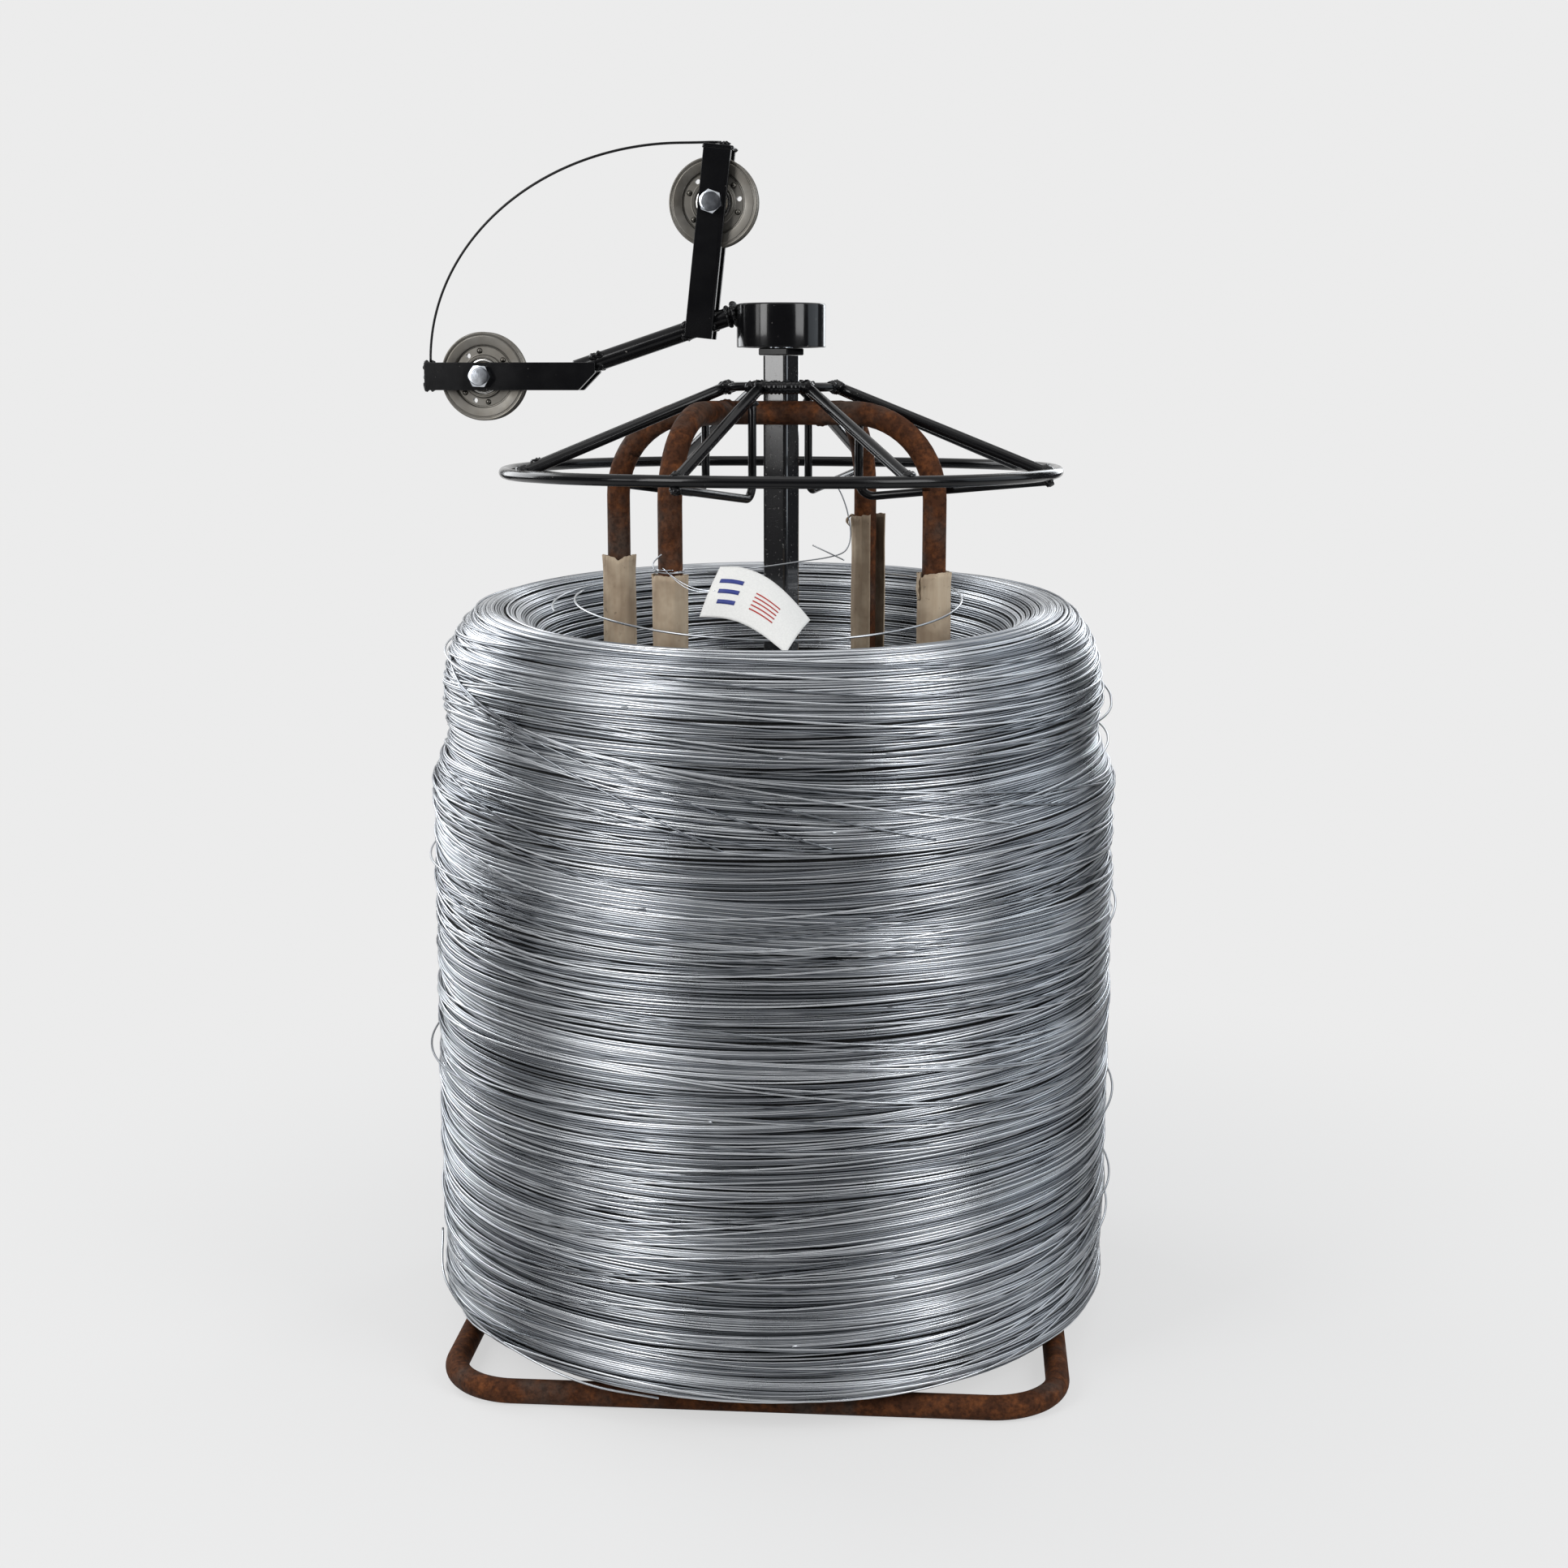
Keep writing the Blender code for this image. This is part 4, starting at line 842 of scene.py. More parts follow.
class SPINNER_OT_coil(bpy.types.Operator):
    """Coil of fence wire: a core painted near-black as shade, a wound layer and a wandering cover of
    turns
    """

    bl_idname = "wire_spinner.coil"
    bl_label = "Coil"

    steps = 96  # points in a turn
    clearance = 0.0023  # least distance between the turns of a layer
    shade_core_depth = 0.0045

    def execute(self, context):
        self.core()
        section = Section()
        crest, foot = section.crest, section.along[-1] - 0.006
        # Each lay: spacing in pitches, stand off the face, wander of bundles and of single turns.
        under, inner = (1, -0.0030, 0.0024, 0.0014), (1, -0.0010, 0.0016, 0.0012)
        cover = (1.16, -0.0002, 0.0060, 0.0028)
        for name, start, end, lay, seed in (
            ("low", 0.004, 0.36, under, 11), ("high", 0.358, crest - 0.05, under, 16),
            ("mouth", crest - 0.07, crest + 0.13, inner, 12),
            ("bore", crest + 0.128, crest + 0.48, inner, 17),
            ("bore_low", crest + 0.478, foot, (1.25, *inner[1:]), 19),
            ("cover_low", 0.016, 0.40, cover, 13), ("cover_high", 0.396, crest + 0.01, cover, 18),
        ):
            replaces = ["wire_winding"] if name == "low" else []
            strands(f"coil_turns_{name}", [self.helix(section, start, end, lay, seed)], replaces)
        crossing = self.helix(section, 0.03, crest - 0.02, (3.4, 0.0019, 0.0160, 0.0080), 14)
        strands("coil_turns_crossing", [crossing, *self.slants(section)])
        strands("coil_turns_loose", [*self.loose(section)])
        return {"FINISHED"}

    def core(self):
        """The face, sunk under the turns and turned round the coil's axis; it is painted near-black as
        the shade between the turns.
        """
        points, *faces = lathe(Section(self.shade_core_depth).points, (0, 0, 0), segments=120)
        # The core's near-black finish is painted shade, seen through the gaps between the turns.
        piece("coil_shade_core", [(slumped(points), *faces)], "core", replaces=["wire_pack"])

    def helix(self, section, start, end, lay, seed):
        """One long wire wound up the face; neighbours wander together and a little apart."""
        spacing, stand, bundle, stray = lay
        pitch = settings("coil").pitch * spacing
        turn = np.arange(math.ceil((end - start) / pitch) * self.steps) / self.steps
        together = sum(
            wave(turn, seed + 10 * k, bundle / k, k - 0.035, k + 0.035, 3) for k in (1, 2, 3)
        )
        apart = wave(turn, seed + 70, stray, 0.35, 2.6, 9)
        distance = self.parted(start + turn * pitch + together + apart)
        distance = np.clip(distance, 0.001, section.along[-1])
        lift = stand + wave(turn, seed + 90, 0.0003, 0.4, 2.3) + 0.0004 * np.sin(2.65 * turn + seed)
        return strand(section, math.pi / 2 + 2 * np.pi * turn, distance, lift, seed + 5)

    def parted(self, distance):
        """Each turn is pushed up to keep clear of the turn below it, then smoothed."""
        rows = distance.reshape(-1, self.steps)
        clear = np.arange(len(rows))[:, None] * self.clearance
        pushed = (np.maximum.accumulate(rows - clear, 0) + clear).ravel()
        return np.convolve(np.pad(pushed, 2, mode="edge"), np.ones(5) / 5, "valid")

    def slants(self, section):
        """Wires that cross the others on a slant, from the shoulder down the left side."""
        share = np.linspace(0, 1, 110)
        for k in range(6):
            angle = np.radians(193 + 4 * k + (70 + 12 * k) * share)
            distance = section.crest - 0.070 - 0.009 * k - share**1.3 * (0.150 - 0.011 * k)
            lift = 0.0036 - 0.0038 * np.abs(2 * share - 1) ** 8
            yield strand(section, angle, distance, lift, 300 + k, 0.3)

    def loose(self, section):
        """Turns that stand off the side, each on a short stretch."""
        heights = (0.10, 0.17, 0.245, 0.33, 0.47, 0.555, 0.66, 0.74, 0.765)
        azimuths = (-12, 4, -8, 186, 2, 176, -6, -14, 172)
        share = np.linspace(-1, 1, 120)
        hump = np.cos(share * np.pi / 2) ** 2
        for k, (height, azimuth) in enumerate(zip(heights, azimuths)):
            angle = np.radians(azimuth + 75 * share)
            distance = height + 0.016 * hump * (-1) ** k + 0.010 * share
            lift = 0.0010 + (0.006 + 0.0018 * (k % 4)) * hump
            yield strand(section, angle, distance, lift, 400 + k)


def thin_wire(path, radius, sides=8):
    """A stray wire: circles along a path, turned from one slanted direction."""
    return sweep(path, radius, sides, unit(np.array((0.31, 0.87, 0.38))))


class SPINNER_OT_loose_wires(bpy.types.Operator):
    """Loose turn in the mouth and the wire ends that stray from the coil"""

    bl_idname = "wire_spinner.loose_wires"
    bl_label = "Loose wires"

    mouth_radius = 0.222
    mouth_height = 0.838
    thin_share = 0.62  # of the fence wire's thickness
    tone = 0.55
    stray = (
        (-0.119, -0.170, 0.903), (-0.128, -0.172, 0.893), (-0.121, -0.174, 0.884),
        (-0.095, -0.165, 0.883), (-0.029, -0.090, 0.881), (0.030, -0.078, 0.888),
        (0.062, -0.080, 0.893), (0.080, -0.080, 0.900), (0.086, -0.080, 0.917),
        (0.083, -0.082, 0.940), (0.077, -0.086, 0.959), (0.070, -0.090, 0.973),
    )
    short_end = ((0.044, -0.078, 0.906), (0.062, -0.084, 0.898), (0.079, -0.086, 0.890))
    lower_end = (
        (-0.384, -0.110, 0.118), (-0.368, -0.200, 0.094), (-0.322, -0.268, 0.070),
        (-0.250, -0.322, 0.049), (-0.190, -0.347, 0.036), (-0.120, -0.362, 0.0295),
    )

    def execute(self, context):
        wire = settings("coil").wire / 2
        thin = wire * self.thin_share
        # One turn that tilts round the mouth, and near its end drifts out and down.
        turn = np.linspace(-0.02, 1.06, 150)
        angle = math.radians(175) + 2 * np.pi * turn
        radius = self.mouth_radius + 0.024 * np.clip(turn - 0.72, 0, 1) / 0.3
        height = self.mouth_height + 0.018 * np.sin(angle) + 0.004 * np.sin(2 * angle + 1)
        height = height - 0.020 * np.clip(turn - 0.8, 0, 1)
        parts = [
            sweep(polar((-0.006, 0), radius, angle, height), wire, 8, UP),
            thin_wire(smooth_run(self.stray, 110), thin),
            thin_wire(smooth_run(self.short_end, 20), thin),
            thin_wire(smooth_run(self.lower_end, 70), wire),
        ]
        strands("coil_loose_ends", [(part, np.full(len(part[0]), self.tone)) for part in parts])
        return {"FINISHED"}


class SPINNER_OT_tag(bpy.types.Operator):
    """Bent white card tag with plain coloured rules, tied to a leg with thin wire"""

    bl_idname = "wire_spinner.tag"
    bl_label = "Tag"

    def execute(self, context):
        card = self.face(0, 1, 0, 1, 48, 24)
        piece("tag_card", [card], "tag", replaces=["wire_tag"], wall=0.0005)
        ink, skin = 0.0005, 0.00015
        blue = [
            self.face(0.66, 0.92 - 0.03 * k, 0.66 - 0.2 * k, 0.74 - 0.2 * k, 16, 3, ink)
            for k in range(3)
        ]
        red = [self.face(0.24, 0.50, 0.28 + 0.08 * k, 0.305 + 0.08 * k, 16, 2, ink) for k in range(5)]
        piece("tag_rules_blue", blue, "blue", wall=skin)
        piece("tag_rules_red", red, "red", wall=skin)
        self.tie()
        return {"FINISHED"}

    def point(self, along, across, lift):
        """The bent card: its lower edge rises from the seat, and its width swings upright."""
        coil = settings("coil")
        seat = np.array((0.014, corner("wire_tag", 0)[1], corner("wire_tag", 0)[2] - 0.0024))
        edge = unit(np.array((-0.89, 0.30, 0.34)))
        along, across = along[..., None], across[..., None]
        low = seat + edge * coil.tag_length * along + 0.012 * np.sin(np.pi * along) * UP
        swing = np.clip(along * 1.25, 0, 1)
        wide = unit((1 - swing) * np.array((0.44, 0.72, 0.52)) + swing * np.array((0.38, 0.22, 0.90)))
        bow = 0.004 * np.sin(np.pi * across)
        return low + wide * coil.tag_width * across + unit(np.cross(wide, edge)) * (lift + bow)

    def face(self, u0, u1, v0, v1, columns, rows, lift=0.0):
        """The part of the card between two shares of its length and two of its width."""
        along, across = np.meshgrid(np.linspace(u0, u1, columns), np.linspace(v0, v1, rows))
        return sheet(self.point(along, across, lift))

    def tie(self):
        """Two thin wires from the tag to the front left leg, once round it."""
        hole = self.point(np.array(0.93), np.array(0.5), 0.001)
        leg = legs()["front_left"]
        reach, height, wire = 0.0146, 0.884, 0.0005
        share = np.linspace(0, 1, 24)[:, None]
        parts = []
        for lift, sag in ((0.0, 0.006), (0.004, 0.010)):
            knot = leg + np.array((-0.003 - lift, -reach, height + lift))
            line = hole + (knot - hole) * share - sag * np.sin(np.pi * share) * UP
            parts.append(thin_wire(line, wire, 6))
        angle = np.linspace(-1.2, 2 * np.pi - 1.3, 40)
        parts.append(sweep(polar(leg, reach, angle, height + 0.002 * angle / 6), wire, 6, UP))
        piece("tag_tie", parts, "tie")


class SPINNER_OT_guard(bpy.types.Operator):
    """Mast and cone guard: rings, ribs, braces and spokes of black rod with their welds"""

    bl_idname = "wire_spinner.guard"
    bl_label = "Mast and guard"

    def execute(self, context):
        spinner = settings("spinner")
        dress(["mast"], "mast")
        dress(["mast_collar"], "paint", 0.0008)
        self.ring("top_ring", spinner.top_ring, spinner.thin_rod, spinner.top_height)
        self.ring("guard_ring", spinner.guard, spinner.thick_rod, spinner.guard_height)
        lumps = []
        for k in range(8):
            lumps += self.rib(k, spinner.rib_azimuth + math.radians(45 * k))
        for k in range(4):
            lumps += self.spoke(k, spinner.mast_turn + math.radians(90 * k))
        piece("guard_welds", [*lumps, self.front_weld()], "paint")
        return {"FINISHED"}

    def front_weld(self):
        """Weld metal heaped on the top ring between the two front ribs."""
        spinner = settings("spinner")
        first = spinner.rib_azimuth - math.pi / 2
        angle = np.linspace(first + 0.06, first + math.pi / 4 - 0.06, 40)
        share = np.linspace(-1, 1, 40)
        radius = 0.0050 + 0.0022 * (1 - share**8) + wave(share, 33, 0.0005, 2, 6)
        path = polar(SPINDLE, spinner.top_ring, angle, spinner.top_height - 0.0008)
        return sweep(path, radius, 16, UP)

    def ring(self, node, radius, thickness, height):
        """A ring of rod whose height waves three times on its way round."""
        angle = circle(168)
        path = polar(SPINDLE, radius, angle, height + 0.0007 * np.sin(3 * angle + 1))
        rod(node, path, thickness, 18, UP, closed=True)

    def rib(self, k, azimuth):
        """A straight rib between the rings; returns the welds at its ends.

        Every second rib has a brace, which drops straight down from it and bends out to the
        guard ring.
        """
        spinner = settings("spinner")
        top = polar(SPINDLE, spinner.top_ring, azimuth, spinner.top_height)
        foot = polar(SPINDLE, spinner.guard, azimuth, spinner.guard_height)
        across = np.cross(heading(azimuth), UP)
        rod(f"rib_{k + 1}", densified(np.array((top, foot))), spinner.thick_rod, 20, across)
        run = unit(foot - top)
        lumps = [
            lump(top + run * 0.001, (0.0085, 0.0085, 0.0075), 20 + k),
            lump(foot - run * 0.006 + UP * 0.002, (0.0085, 0.0085, 0.0065), 40 + k),
        ]
        if k % 2:
            return lumps
        share = (spinner.brace_radius - spinner.top_ring) / (spinner.guard - spinner.top_ring)
        start = top + (foot - top) * share
        low = polar(SPINDLE, spinner.brace_radius, azimuth, spinner.brace_height)
        end = polar(SPINDLE, spinner.guard - 0.002, azimuth, spinner.guard_height - 0.0075)
        path = bent_run((start, low, end), (spinner.brace_bend,), 12)
        rod(f"brace_{k // 2 + 1}", path, spinner.thin_rod, 18, across)
        return [
            *lumps, lump(start - UP * 0.0075, (0.0068, 0.0068, 0.0042), 60 + k // 2),
            lump(end - UP * 0.001, (0.0062, 0.0062, 0.0052), 70 + k // 2),
        ]

    def spoke(self, k, azimuth):
        """A straight spoke from the mast to the top ring; returns the welds at its ends."""
        spinner = settings("spinner")
        start = polar(SPINDLE, spinner.mast_side / 2 - 0.0002, azimuth, spinner.top_height)
        end = polar(SPINDLE, spinner.top_ring, azimuth, spinner.top_height)
        rod(f"spoke_{k + 1}", densified(np.array((start, end)), 0.01), spinner.thin_rod, 18, UP)
        return [
            lump(start + (end - start) * 0.05, (0.0062, 0.0062, 0.0066), 80 + k),
            lump(end, (0.0066, 0.0066, 0.0062), 90 + k),
        ]


ARM_WAY = unit(raised(OUTER_PULLEY - SPINDLE, 0.0))
FRONT_WAY = np.cross(UP, ARM_WAY)


def on_arm(reach, side=0.0, above=0.0):
    """A point of the arm: reach along it from the spindle, side to the front, above its middle."""
    spinner = settings("spinner")
    fall = spinner.arm_root + (reach - spinner.hub / 2) * math.tan(spinner.arm_slope)
    return raised(SPINDLE + ARM_WAY * reach + FRONT_WAY * side, corner("hub_shell", 1)[2] - fall + above)


class SPINNER_OT_hub(bpy.types.Operator):
    """Bearing hub: a black cup over the spindle, its housing, bearings, nut and washer"""

    bl_idname = "wire_spinner.hub"
    bl_label = "Hub"

    def execute(self, context):
        spinner = settings("spinner")
        top = corner("hub_shell", 1)[2]
        outer, inner = spinner.hub / 2, spinner.hub / 2 - spinner.hub_wall
        foot, lid = top - spinner.hub_height, top - spinner.hub_wall
        bore, edge, lower, inside = 0.020, 0.0022, 0.0012, 0.0010
        # Half the cup's section: its lid, three rounded edges and the lid's underside.
        profile = [
            (bore, top), *arc((outer - edge, top - edge), edge, edge, 90, 0, 8),
            *arc((outer - lower, foot + lower), lower, lower, 0, -90, 5),
            *arc((inner + inside, foot + inside), inside, inside, 270, 180, 4),
            (inner, lid), (bore, lid),
        ]
        cup = lathe(profile, raised(SPINDLE, 0.0), segments=128, closed=False)
        piece("hub_cup", [cup], "gloss", "flyer", ["hub_shell"], sharp=50)
        dress(["bearing_housing"], "paint")
        dress(["hub_bearing_lower", "hub_bearing_upper"], "race")
        dress(["spindle", "spindle_washer", "spindle_nut"], "zinc")
        return {"FINISHED"}


class SPINNER_OT_arm(bpy.types.Operator):
    """Arm, forks and bow wire of the flyer, with their welds"""

    bl_idname = "wire_spinner.arm"
    bl_label = "Arm and forks"

    def execute(self, context):
        spinner = settings("spinner")
        path = densified(np.array([on_arm(spinner.hub / 2 - 0.003), on_arm(spinner.arm_end)]))
        tube = sweep(path, spinner.arm / 2, 32, FRONT_WAY)
        piece("arm_tube_pipe", [tube], "paint", "flyer", ["arm_tube"])
        bars = [f"{fork}_{side}" for fork in ("lower_fork", "upright") for side in ("front", "rear")]
        dress([*bars, "lower_fork_end", "upright_cap"], "paint", 0.0007)
        self.bow()
        self.welds()
        return {"FINISHED"}

    def bow(self):
        """A quarter of an ellipse from the fork's tip to the height of the upright's cap."""
        spinner = settings("spinner")
        reach = np.linalg.norm((middle("lower_fork_end") - SPINDLE)[:2])
        base = corner("lower_fork_end", 1)[2] + 0.0002
        top = corner("upright_cap", 1)[2] + 0.0003 + spinner.bow / 2
        line = arc((spinner.bow_centre, base), reach - spinner.bow_centre, top - base, 0, 90, 90)
        line = np.concatenate([line, [(0.098, top), (0.080, top + 0.0002), (0.068, top - 0.0002)]])
        path = raised(SPINDLE, 0.0) + line[:, :1] * ARM_WAY + line[:, 1:] * UP
        rod("bow_wire", path, spinner.bow, 12, FRONT_WAY, "flyer")

    def welds(self):
        """Beads at the arm's root, and lumps where bars, fork end and cap are joined."""
        spinner = settings("spinner")
        slope = unit(ARM_WAY - UP * math.tan(spinner.arm_slope))
        radius, gap = spinner.arm / 2, spinner.fork_gap / 2
        root = on_arm(spinner.hub / 2 + 0.002)
        parts = [
            bead(root, slope, radius + 0.0010, 0.0034, 5),
            bead(root + slope * 0.008, slope, radius, 0.0024, 6),
        ]
        for k, reach in enumerate((0.0775, 0.109, 0.2105, 0.217)):
            for side in (-1, 1):
                for level in (-1, 1):
                    point = on_arm(reach, side * gap * 0.86, level * radius * 0.6)
                    parts.append(lump(point, (0.0054, 0.0026, 0.0044), 100 + 7 * k + side + 2 * level))
        tip, cap = middle("lower_fork_end"), middle("upright_cap")
        for side in (-1, 1):
            for level in (-0.011, 0.0, 0.012):
                point = tip + FRONT_WAY * side * gap * 1.12 + UP * level + ARM_WAY * 0.0015
                parts.append(lump(point, (0.0040, 0.0034, 0.0062), 250 + side + round(level * 900)))
        for side in (-1, 1):
            for along in (-0.012, 0.0, 0.012):
                point = cap + FRONT_WAY * side * gap * 1.15 + ARM_WAY * along
                point = point - UP * (0.001 - along * 0.11)
                parts.append(lump(point, (0.0062, 0.0040, 0.0030), 290 + side + round(along * 900)))
        parts.append(lump(cap + UP * 0.0038 - ARM_WAY * 0.006, (0.0060, 0.0040, 0.0026), 190))
        piece("flyer_welds", parts, "paint", "flyer")


def hexagon_head(centre, axis, flats, height, turn):
    """A hexagonal head: flats at the side, and a cone that takes off its corners at the top.

    At each angle the radius is that of the hexagon, and the top edge is lower where the
    hexagon reaches further out.
    """
    angle = circle(72)
    hexagon = flats / 2 / np.cos((angle + turn) % (np.pi / 3) - np.pi / 6)
    fall = (hexagon - flats / 2 * 0.97) * 0.55
    rows = (
        (hexagon * 0.985, 0), (hexagon, 0.0003), (hexagon, height - fall),
        (flats / 2 * 0.95, height), (flats / 2 * 0.80, height + 0.0001),
    )
    radius, level = (
        np.stack([np.broadcast_to(row[k], 72) for row in rows])[..., None] for k in (0, 1)
    )
    return patch(centre + radius * spokes(axis, angle) + level * axis, caps=True)


class SPINNER_OT_pulleys(bpy.types.Operator):
    """V-groove pulleys with rivets and bearings, on bolts with nuts and spacers"""

    bl_idname = "wire_spinner.pulleys"
    bl_label = "Pulleys and bolts"

    crease = 38  # degrees, past which an edge of the wheel is sharp
    # Radius and height of a pressed dish, from the bearing out to the rim.
    dish = (
        (0.0203, 0.0066), (0.0212, 0.0070), (0.0222, 0.0070), (0.0228, 0.0064), (0.0238, 0.0064),
        (0.0245, 0.0058), (0.0250, 0.0042), (0.0256, 0.0038), (0.0260, 0.0038), (0.0336, 0.0038),
        (0.0340, 0.0038), (0.0346, 0.0032), (0.0354, 0.0034), (0.0362, 0.0058), (0.0370, 0.0062),
        (0.0376, 0.0063), (0.0456, 0.0073), (0.0461, 0.0073), (0.0468, 0.0069), (0.0474, 0.0071),
        (0.0480, 0.0076),
    )

    def execute(self, context):
        for name, centre, turn in (
            ("outer_pulley", OUTER_PULLEY, 0.05), ("upper_pulley", UPPER_PULLEY, 0.35)
        ):
            self.wheel(name, centre)
            self.bearing(name, centre)
            self.bolt(name, centre, turn)
        return {"FINISHED"}

    def doubled(self, upper, centre, segments=72):
        """A turned form whose lower side mirrors its upper side."""
        upper = np.array(upper)
        profile = np.concatenate([upper, upper[::-1] * np.array((1, -1))])
        return lathe(profile, centre, PULLEY_AXIS, segments)

    def spots(self, centre, radius, first, count):
        """Points evenly round a pulley, the first at an angle in degrees."""
        angle = np.radians(first + 360 / count * np.arange(count))
        return centre + spokes(PULLEY_AXIS, angle) * radius

    def wheel(self, name, centre):
        """Two pressed dishes back to back: rolled rim, cone, flat web, boss round the bearing."""
        spinner = settings("spinner")
        rim, radius, roll = spinner.pulley_width / 2, spinner.pulley, 0.0013
        form = self.doubled([
            *self.dish, *arc((radius - roll, rim - roll), roll, roll, 100, -20, 6),
            (radius - 0.0018, rim - 0.0034), (0.0412, 0.0014), (0.0402, 0.0007),
        ], centre, 120)
        self.drill(piece(f"{name}_wheel", [form], "steel", name, [name], sharp=self.crease), centre)
        dome = [(0.0034, 0.0), *arc((0, 0.0002), 0.0032, 0.0024, 8, 80, 5)]
        rivets = [
            lathe(dome, spot + side * PULLEY_AXIS * 0.0037, side * PULLEY_AXIS, 16, False)
            for spot in self.spots(centre, 0.0296, 21, 6) for side in (-1, 1)
        ]
        piece(f"{name}_rivets", rivets, "rivet", name)

    def drill(self, wheel, centre):
        """Three holes through the web, cut with cylinders that are then removed."""
        line = [(0.003, -0.02), (0.003, 0.02)]
        spots = self.spots(centre, 0.0297, -8, 3)
        drills = [lathe(line, spot, PULLEY_AXIS, 24, False) for spot in spots]
        cutter = add_object("drills", mesh_from("drills", drills))
        holes = wheel.modifiers.new("holes", "BOOLEAN")
        holes.operation, holes.object = "DIFFERENCE", cutter
        bpy.context.view_layer.update()
        shape = wheel.evaluated_get(bpy.context.evaluated_depsgraph_get())
        cut = bpy.data.meshes.new_from_object(shape)
        wheel.modifiers.clear()
        wheel.data = cut
        cut.shade_smooth()
        cut.set_sharp_from_angle(angle=math.radians(self.crease))
        bpy.data.objects.remove(cutter)

    def bearing(self, name, centre):
        """Two rings with broken edges, and the seal between them."""
        half, edge = 0.0060, 0.0003
        low = half - 0.0002
        races = [
            self.doubled([(a, low), (a + edge, half), (b - edge, half), (b, low)], centre)
            for a, b in ((0.00825, 0.0118), (0.0166, 0.0200))
        ]
        piece(f"{name}_races", races, "race", name, [f"{name}_bearing"])
        seal = self.doubled([(0.0117, 0.0052), (0.0142, 0.0056), (0.0167, 0.0052)], centre)
        piece(f"{name}_seals", [seal], "seal", name)

    def bolt(self, name, centre, turn):
        """A bolt whose end is threaded with rings, its nut and its spacers."""
        spinner = settings("spinner")
        flats, shank = spinner.bolt_flats, spinner.bolt_flats / 3
        face = spinner.fork_gap / 2 + spinner.bar + 0.0003
        end, pitch, depth = face + 0.0155, 0.0023, 0.0007
        head = hexagon_head(centre - PULLEY_AXIS * face, -PULLEY_AXIS, flats, spinner.bolt_head, turn)
        thread = [
            (shank - depth * (k % 2), end - 0.0005 - at)
            for k, at in enumerate(np.arange(0, 0.014, pitch / 2))
        ]
        profile = [(shank - 0.0012, end), *thread, (shank, -face + 0.0001)]
        parts = [head, lathe(profile, centre, PULLEY_AXIS, 36, False)]
        piece(f"{name}_bolt_hex", parts, "zinc", "flyer", [f"{name}_bolt"], sharp=30)
        nut = hexagon_head(centre + PULLEY_AXIS * face, PULLEY_AXIS, flats, 0.0125, turn + 0.3)
        piece(f"{name}_nut_hex", [nut], "zinc", "flyer", [f"{name}_nut"], sharp=30)
        dress([f"{name}_spacer_front", f"{name}_spacer_rear"], "zinc")


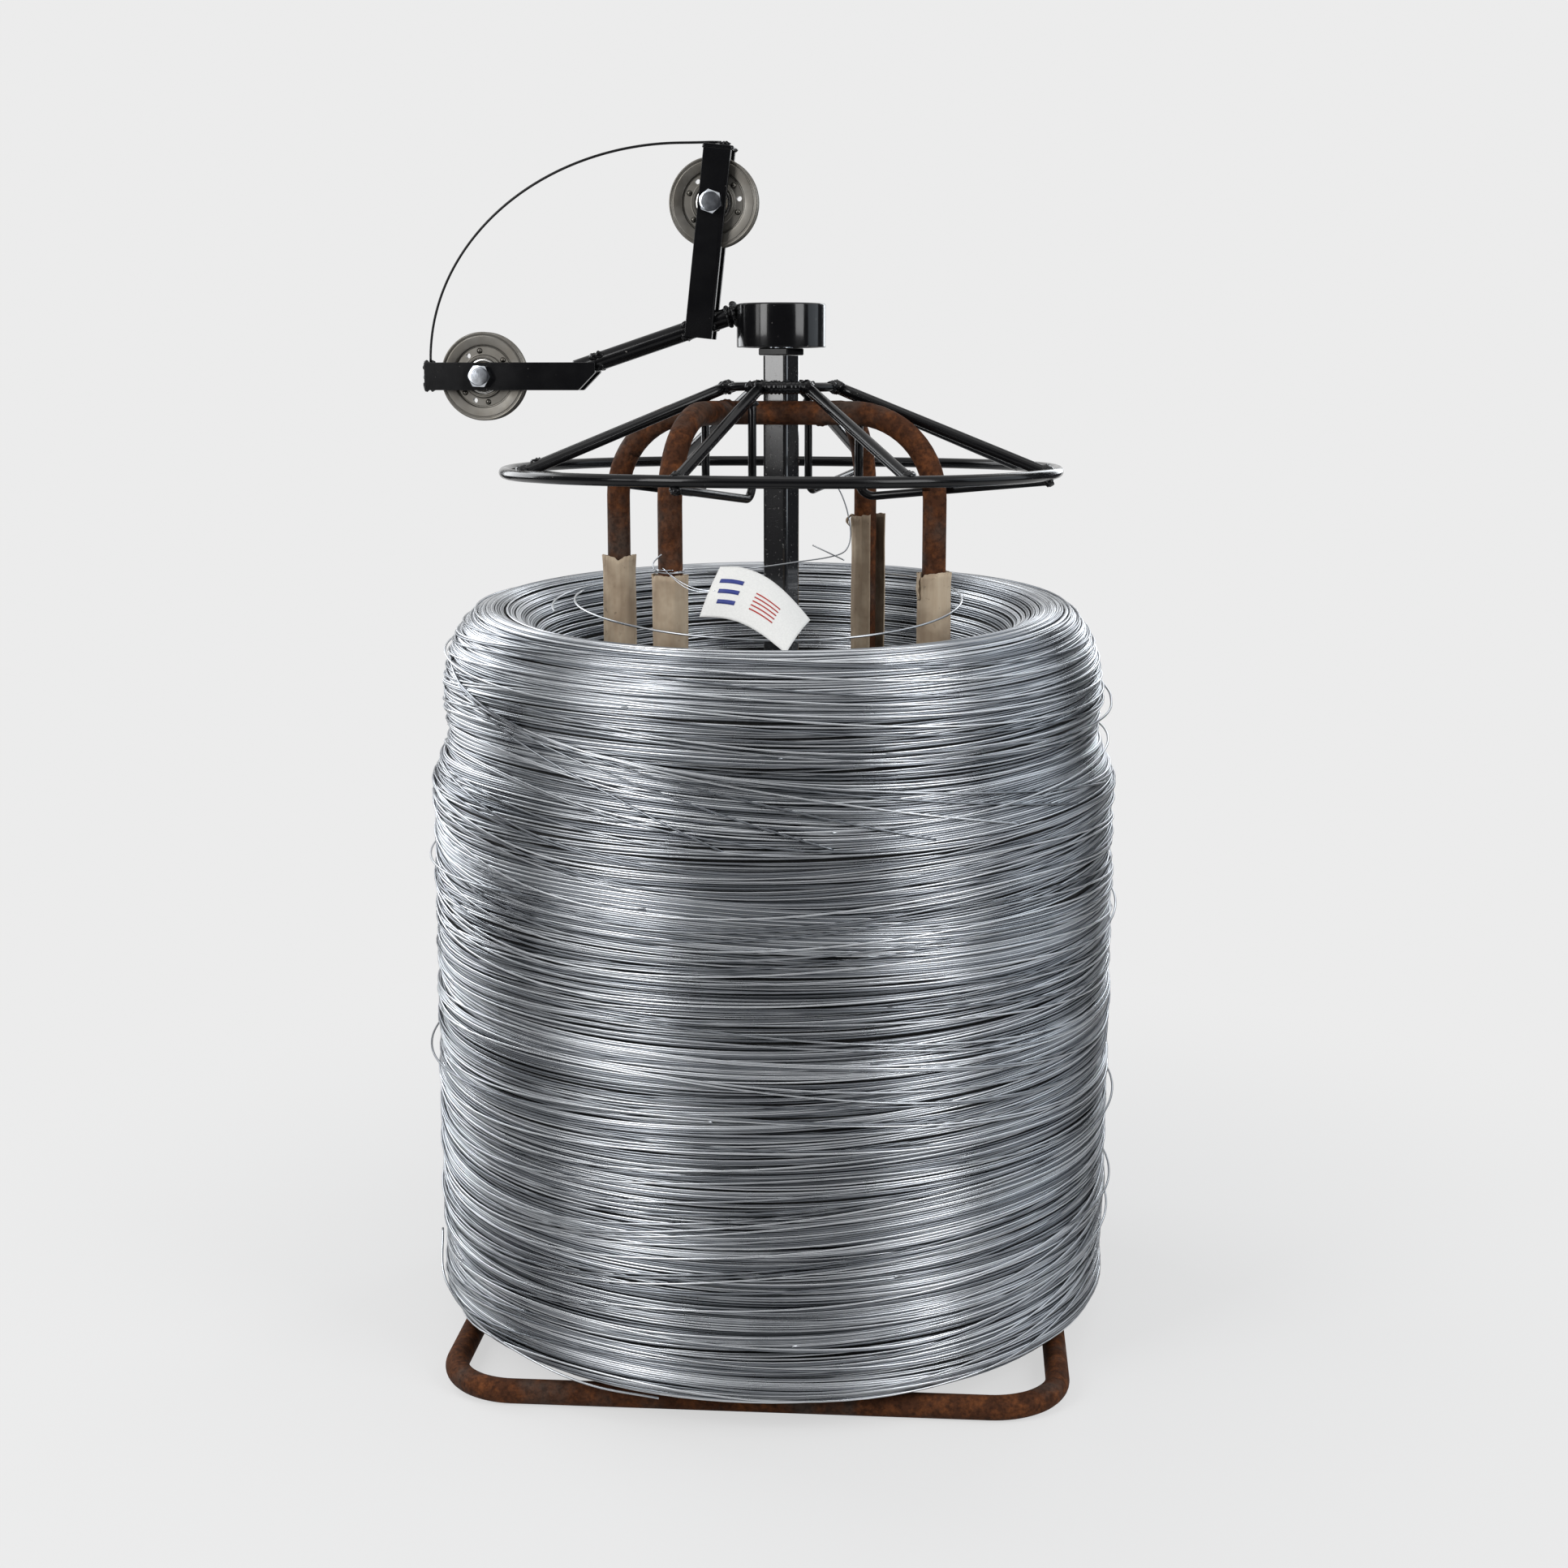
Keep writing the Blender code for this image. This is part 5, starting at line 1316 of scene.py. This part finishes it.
class SPINNER_OT_stage(bpy.types.Operator):
    """Pale floor and backdrop, soft lamps and the camera"""

    bl_idname = "wire_spinner.stage"
    bl_label = "Stage"

    # Name, azimuth, distance and height, width, length, power and colour of each lamp.
    lamps = (
        ("soft_box_left", -46, 2.5, 1.75, 0.85, 1.7, 40, (1, 1, 1)),
        ("strip_left", -63, 2.5, 1.45, 0.45, 0.95, 5.6, (1, 1, 1)),
        ("soft_box_right", 49, 2.6, 1.75, 1.10, 1.7, 40, (0.98, 0.99, 1.0)),
        ("side_right", 92, 2.5, 1.6, 1.7, 1.8, 13.5, (0.84, 0.92, 1.0)),
        ("soft_box_rear", -128, 2.5, 1.6, 1.6, 1.8, 42, (0.96, 0.98, 1.0)),
        ("soft_box_rear_right", 150, 2.8, 1.7, 0.7, 1.6, 16, (0.92, 0.96, 1.0)),
        ("soft_box_top", 0, 0.4, 3.2, 1.4, 1.4, 8, (1, 1, 1)),
    )
    aim_height = 0.75

    def execute(self, context):
        self.floor()
        self.world()
        for lamp in self.lamps:
            self.lamp(*lamp)
        self.walls()
        self.camera()
        context.scene.view_settings.view_transform = "Standard"
        return {"FINISHED"}

    def seen_rays(self, tree):
        """1 for rays from the camera, from mirrors and through glass."""
        path = tree.nodes.new("ShaderNodeLightPath")
        total = path.outputs["Is Camera Ray"]
        for name in ("Is Glossy Ray", "Is Transmission Ray"):
            total = add_node(tree, "Math", {0: total, 1: path.outputs[name]}, operation="MAXIMUM")
        return total

    def floor(self):
        """Lit floor near the object, where its shadow falls, that fades into the backdrop."""
        grid = np.array([[(-30, 30, 0), (30, 30, 0)], [(-30, -30, 0), (30, -30, 0)]], float)
        mesh = mesh_from("floor", [sheet(grid - UP * 0.0002)])
        floor = add_object("floor", mesh)
        look = Finish("floor", (0.62, 0.62, 0.62), 1.0)
        look.feed({"Specular IOR Level": 0.0})
        tree = look.tree
        glow = add_node(tree, "Emission", {"Color": settings("stage").backdrop})
        distance = add_node(tree, "VectorMath", {0: look.place}, "Value", operation="LENGTH")
        fade = {"Value": distance, "From Min": 0.42, "From Max": 1.5, "To Min": 0.70, "To Max": 1.0}
        fade = add_node(tree, "MapRange", fade, interpolation_type="SMOOTHSTEP")
        share = add_node(tree, "Math", {0: self.seen_rays(tree), 1: fade}, operation="MULTIPLY")
        mixed = add_node(tree, "MixShader", {0: share, 1: look.shader.outputs[0], 2: glow})
        feed(tree, tree.nodes["Material Output"].inputs["Surface"], mixed)
        mesh.materials.append(look.material)

    def world(self):
        """The backdrop, dimmer as a light than as what is seen."""
        world = bpy.data.worlds.new("studio")
        bpy.context.scene.world = world
        world.use_nodes = True
        tree = world.node_tree
        background = tree.nodes["Background"].inputs
        strength = {"Value": self.seen_rays(tree), "To Min": 0.48, "To Max": 1.0}
        feed(tree, background["Strength"], add_node(tree, "MapRange", strength))
        feed(tree, background["Color"], settings("stage").backdrop)

    def lamp(self, name, azimuth, distance, height, width, length, power, colour):
        """A soft box that faces the coil; azimuth in degrees, 0 at the camera, to the right."""
        data = bpy.data.lights.new(name, "AREA")
        data.shape = "RECTANGLE"
        data.size, data.size_y = width, length
        data.energy, data.color = power, colour
        lamp = add_object(name, data)
        lamp.location = polar((0, 0), distance, math.radians(azimuth - 90), height)
        aim = UP * self.aim_height - np.array(lamp.location)
        pitch = math.atan2(-aim[2], math.hypot(aim[0], aim[1]))
        lamp.rotation_euler = (math.pi / 2 - pitch, 0, math.atan2(-aim[0], aim[1]))

    def walls(self):
        """Dark studio walls round the front and sides, seen only in reflections."""
        angle = np.radians(np.linspace(-155, 155, 60) - 90)
        grid = polar((0, 0), 3.4, angle, np.array((0.0, 1.2, 2.6))[:, None])
        mesh = mesh_from("studio_wall", [sheet(grid)])
        look = Finish("studio_wall", (0.05, 0.05, 0.055), 1.0)
        look.feed({"Specular IOR Level": 0.0})
        mesh.materials.append(look.material)
        wall = add_object("studio_wall", mesh)
        wall.visible_camera = wall.visible_diffuse = False
        wall.visible_shadow = wall.visible_transmission = False

    def camera(self):
        stage = settings("stage")
        data = bpy.data.cameras.new("camera")
        data.lens, data.sensor_width, data.clip_end = stage.lens, 36, 100
        camera = add_object("camera", data)
        camera.location = (stage.camera_shift, -stage.camera_distance, stage.camera_height)
        camera.rotation_euler = (math.pi / 2 - stage.camera_tilt, 0, 0)
        bpy.context.scene.camera = camera


OPERATORS = (
    SPINNER_OT_stage, SPINNER_OT_carrier, SPINNER_OT_sleeves, SPINNER_OT_coil,
    SPINNER_OT_loose_wires, SPINNER_OT_tag, SPINNER_OT_guard, SPINNER_OT_hub, SPINNER_OT_arm,
    SPINNER_OT_pulleys,
)
GROUPS = {
    "carrier": SPINNER_PG_carrier, "coil": SPINNER_PG_coil, "spinner": SPINNER_PG_spinner,
    "stage": SPINNER_PG_stage,
}


class SPINNER_PT_sidebar(bpy.types.Panel):
    """Settings and operators in the 3D view's sidebar"""

    bl_idname = "SPINNER_PT_sidebar"
    bl_label = "Fence wire spinner"
    bl_space_type = "VIEW_3D"
    bl_region_type = "UI"
    bl_category = "Wire spinner"

    def draw(self, context):
        for operator in OPERATORS:
            self.layout.operator(operator.bl_idname)
        for name, group in GROUPS.items():
            box = self.layout.box()
            box.label(text=name.capitalize())
            for value in group.__annotations__:
                box.prop(settings(name), value)


def register():
    for name, group in GROUPS.items():
        bpy.utils.register_class(group)
        setattr(bpy.types.Scene, f"wire_spinner_{name}", bpy.props.PointerProperty(type=group))
    for kind in (*OPERATORS, SPINNER_PT_sidebar):
        bpy.utils.register_class(kind)


def unregister():
    for kind in (SPINNER_PT_sidebar, *reversed(OPERATORS)):
        bpy.utils.unregister_class(kind)
    for name, group in GROUPS.items():
        delattr(bpy.types.Scene, f"wire_spinner_{name}")
        bpy.utils.unregister_class(group)


def main():
    register()
    for operator in OPERATORS:
        name = operator.bl_idname.split(".")[1]
        getattr(bpy.ops.wire_spinner, name)()


if __name__ == "__main__":
    main()
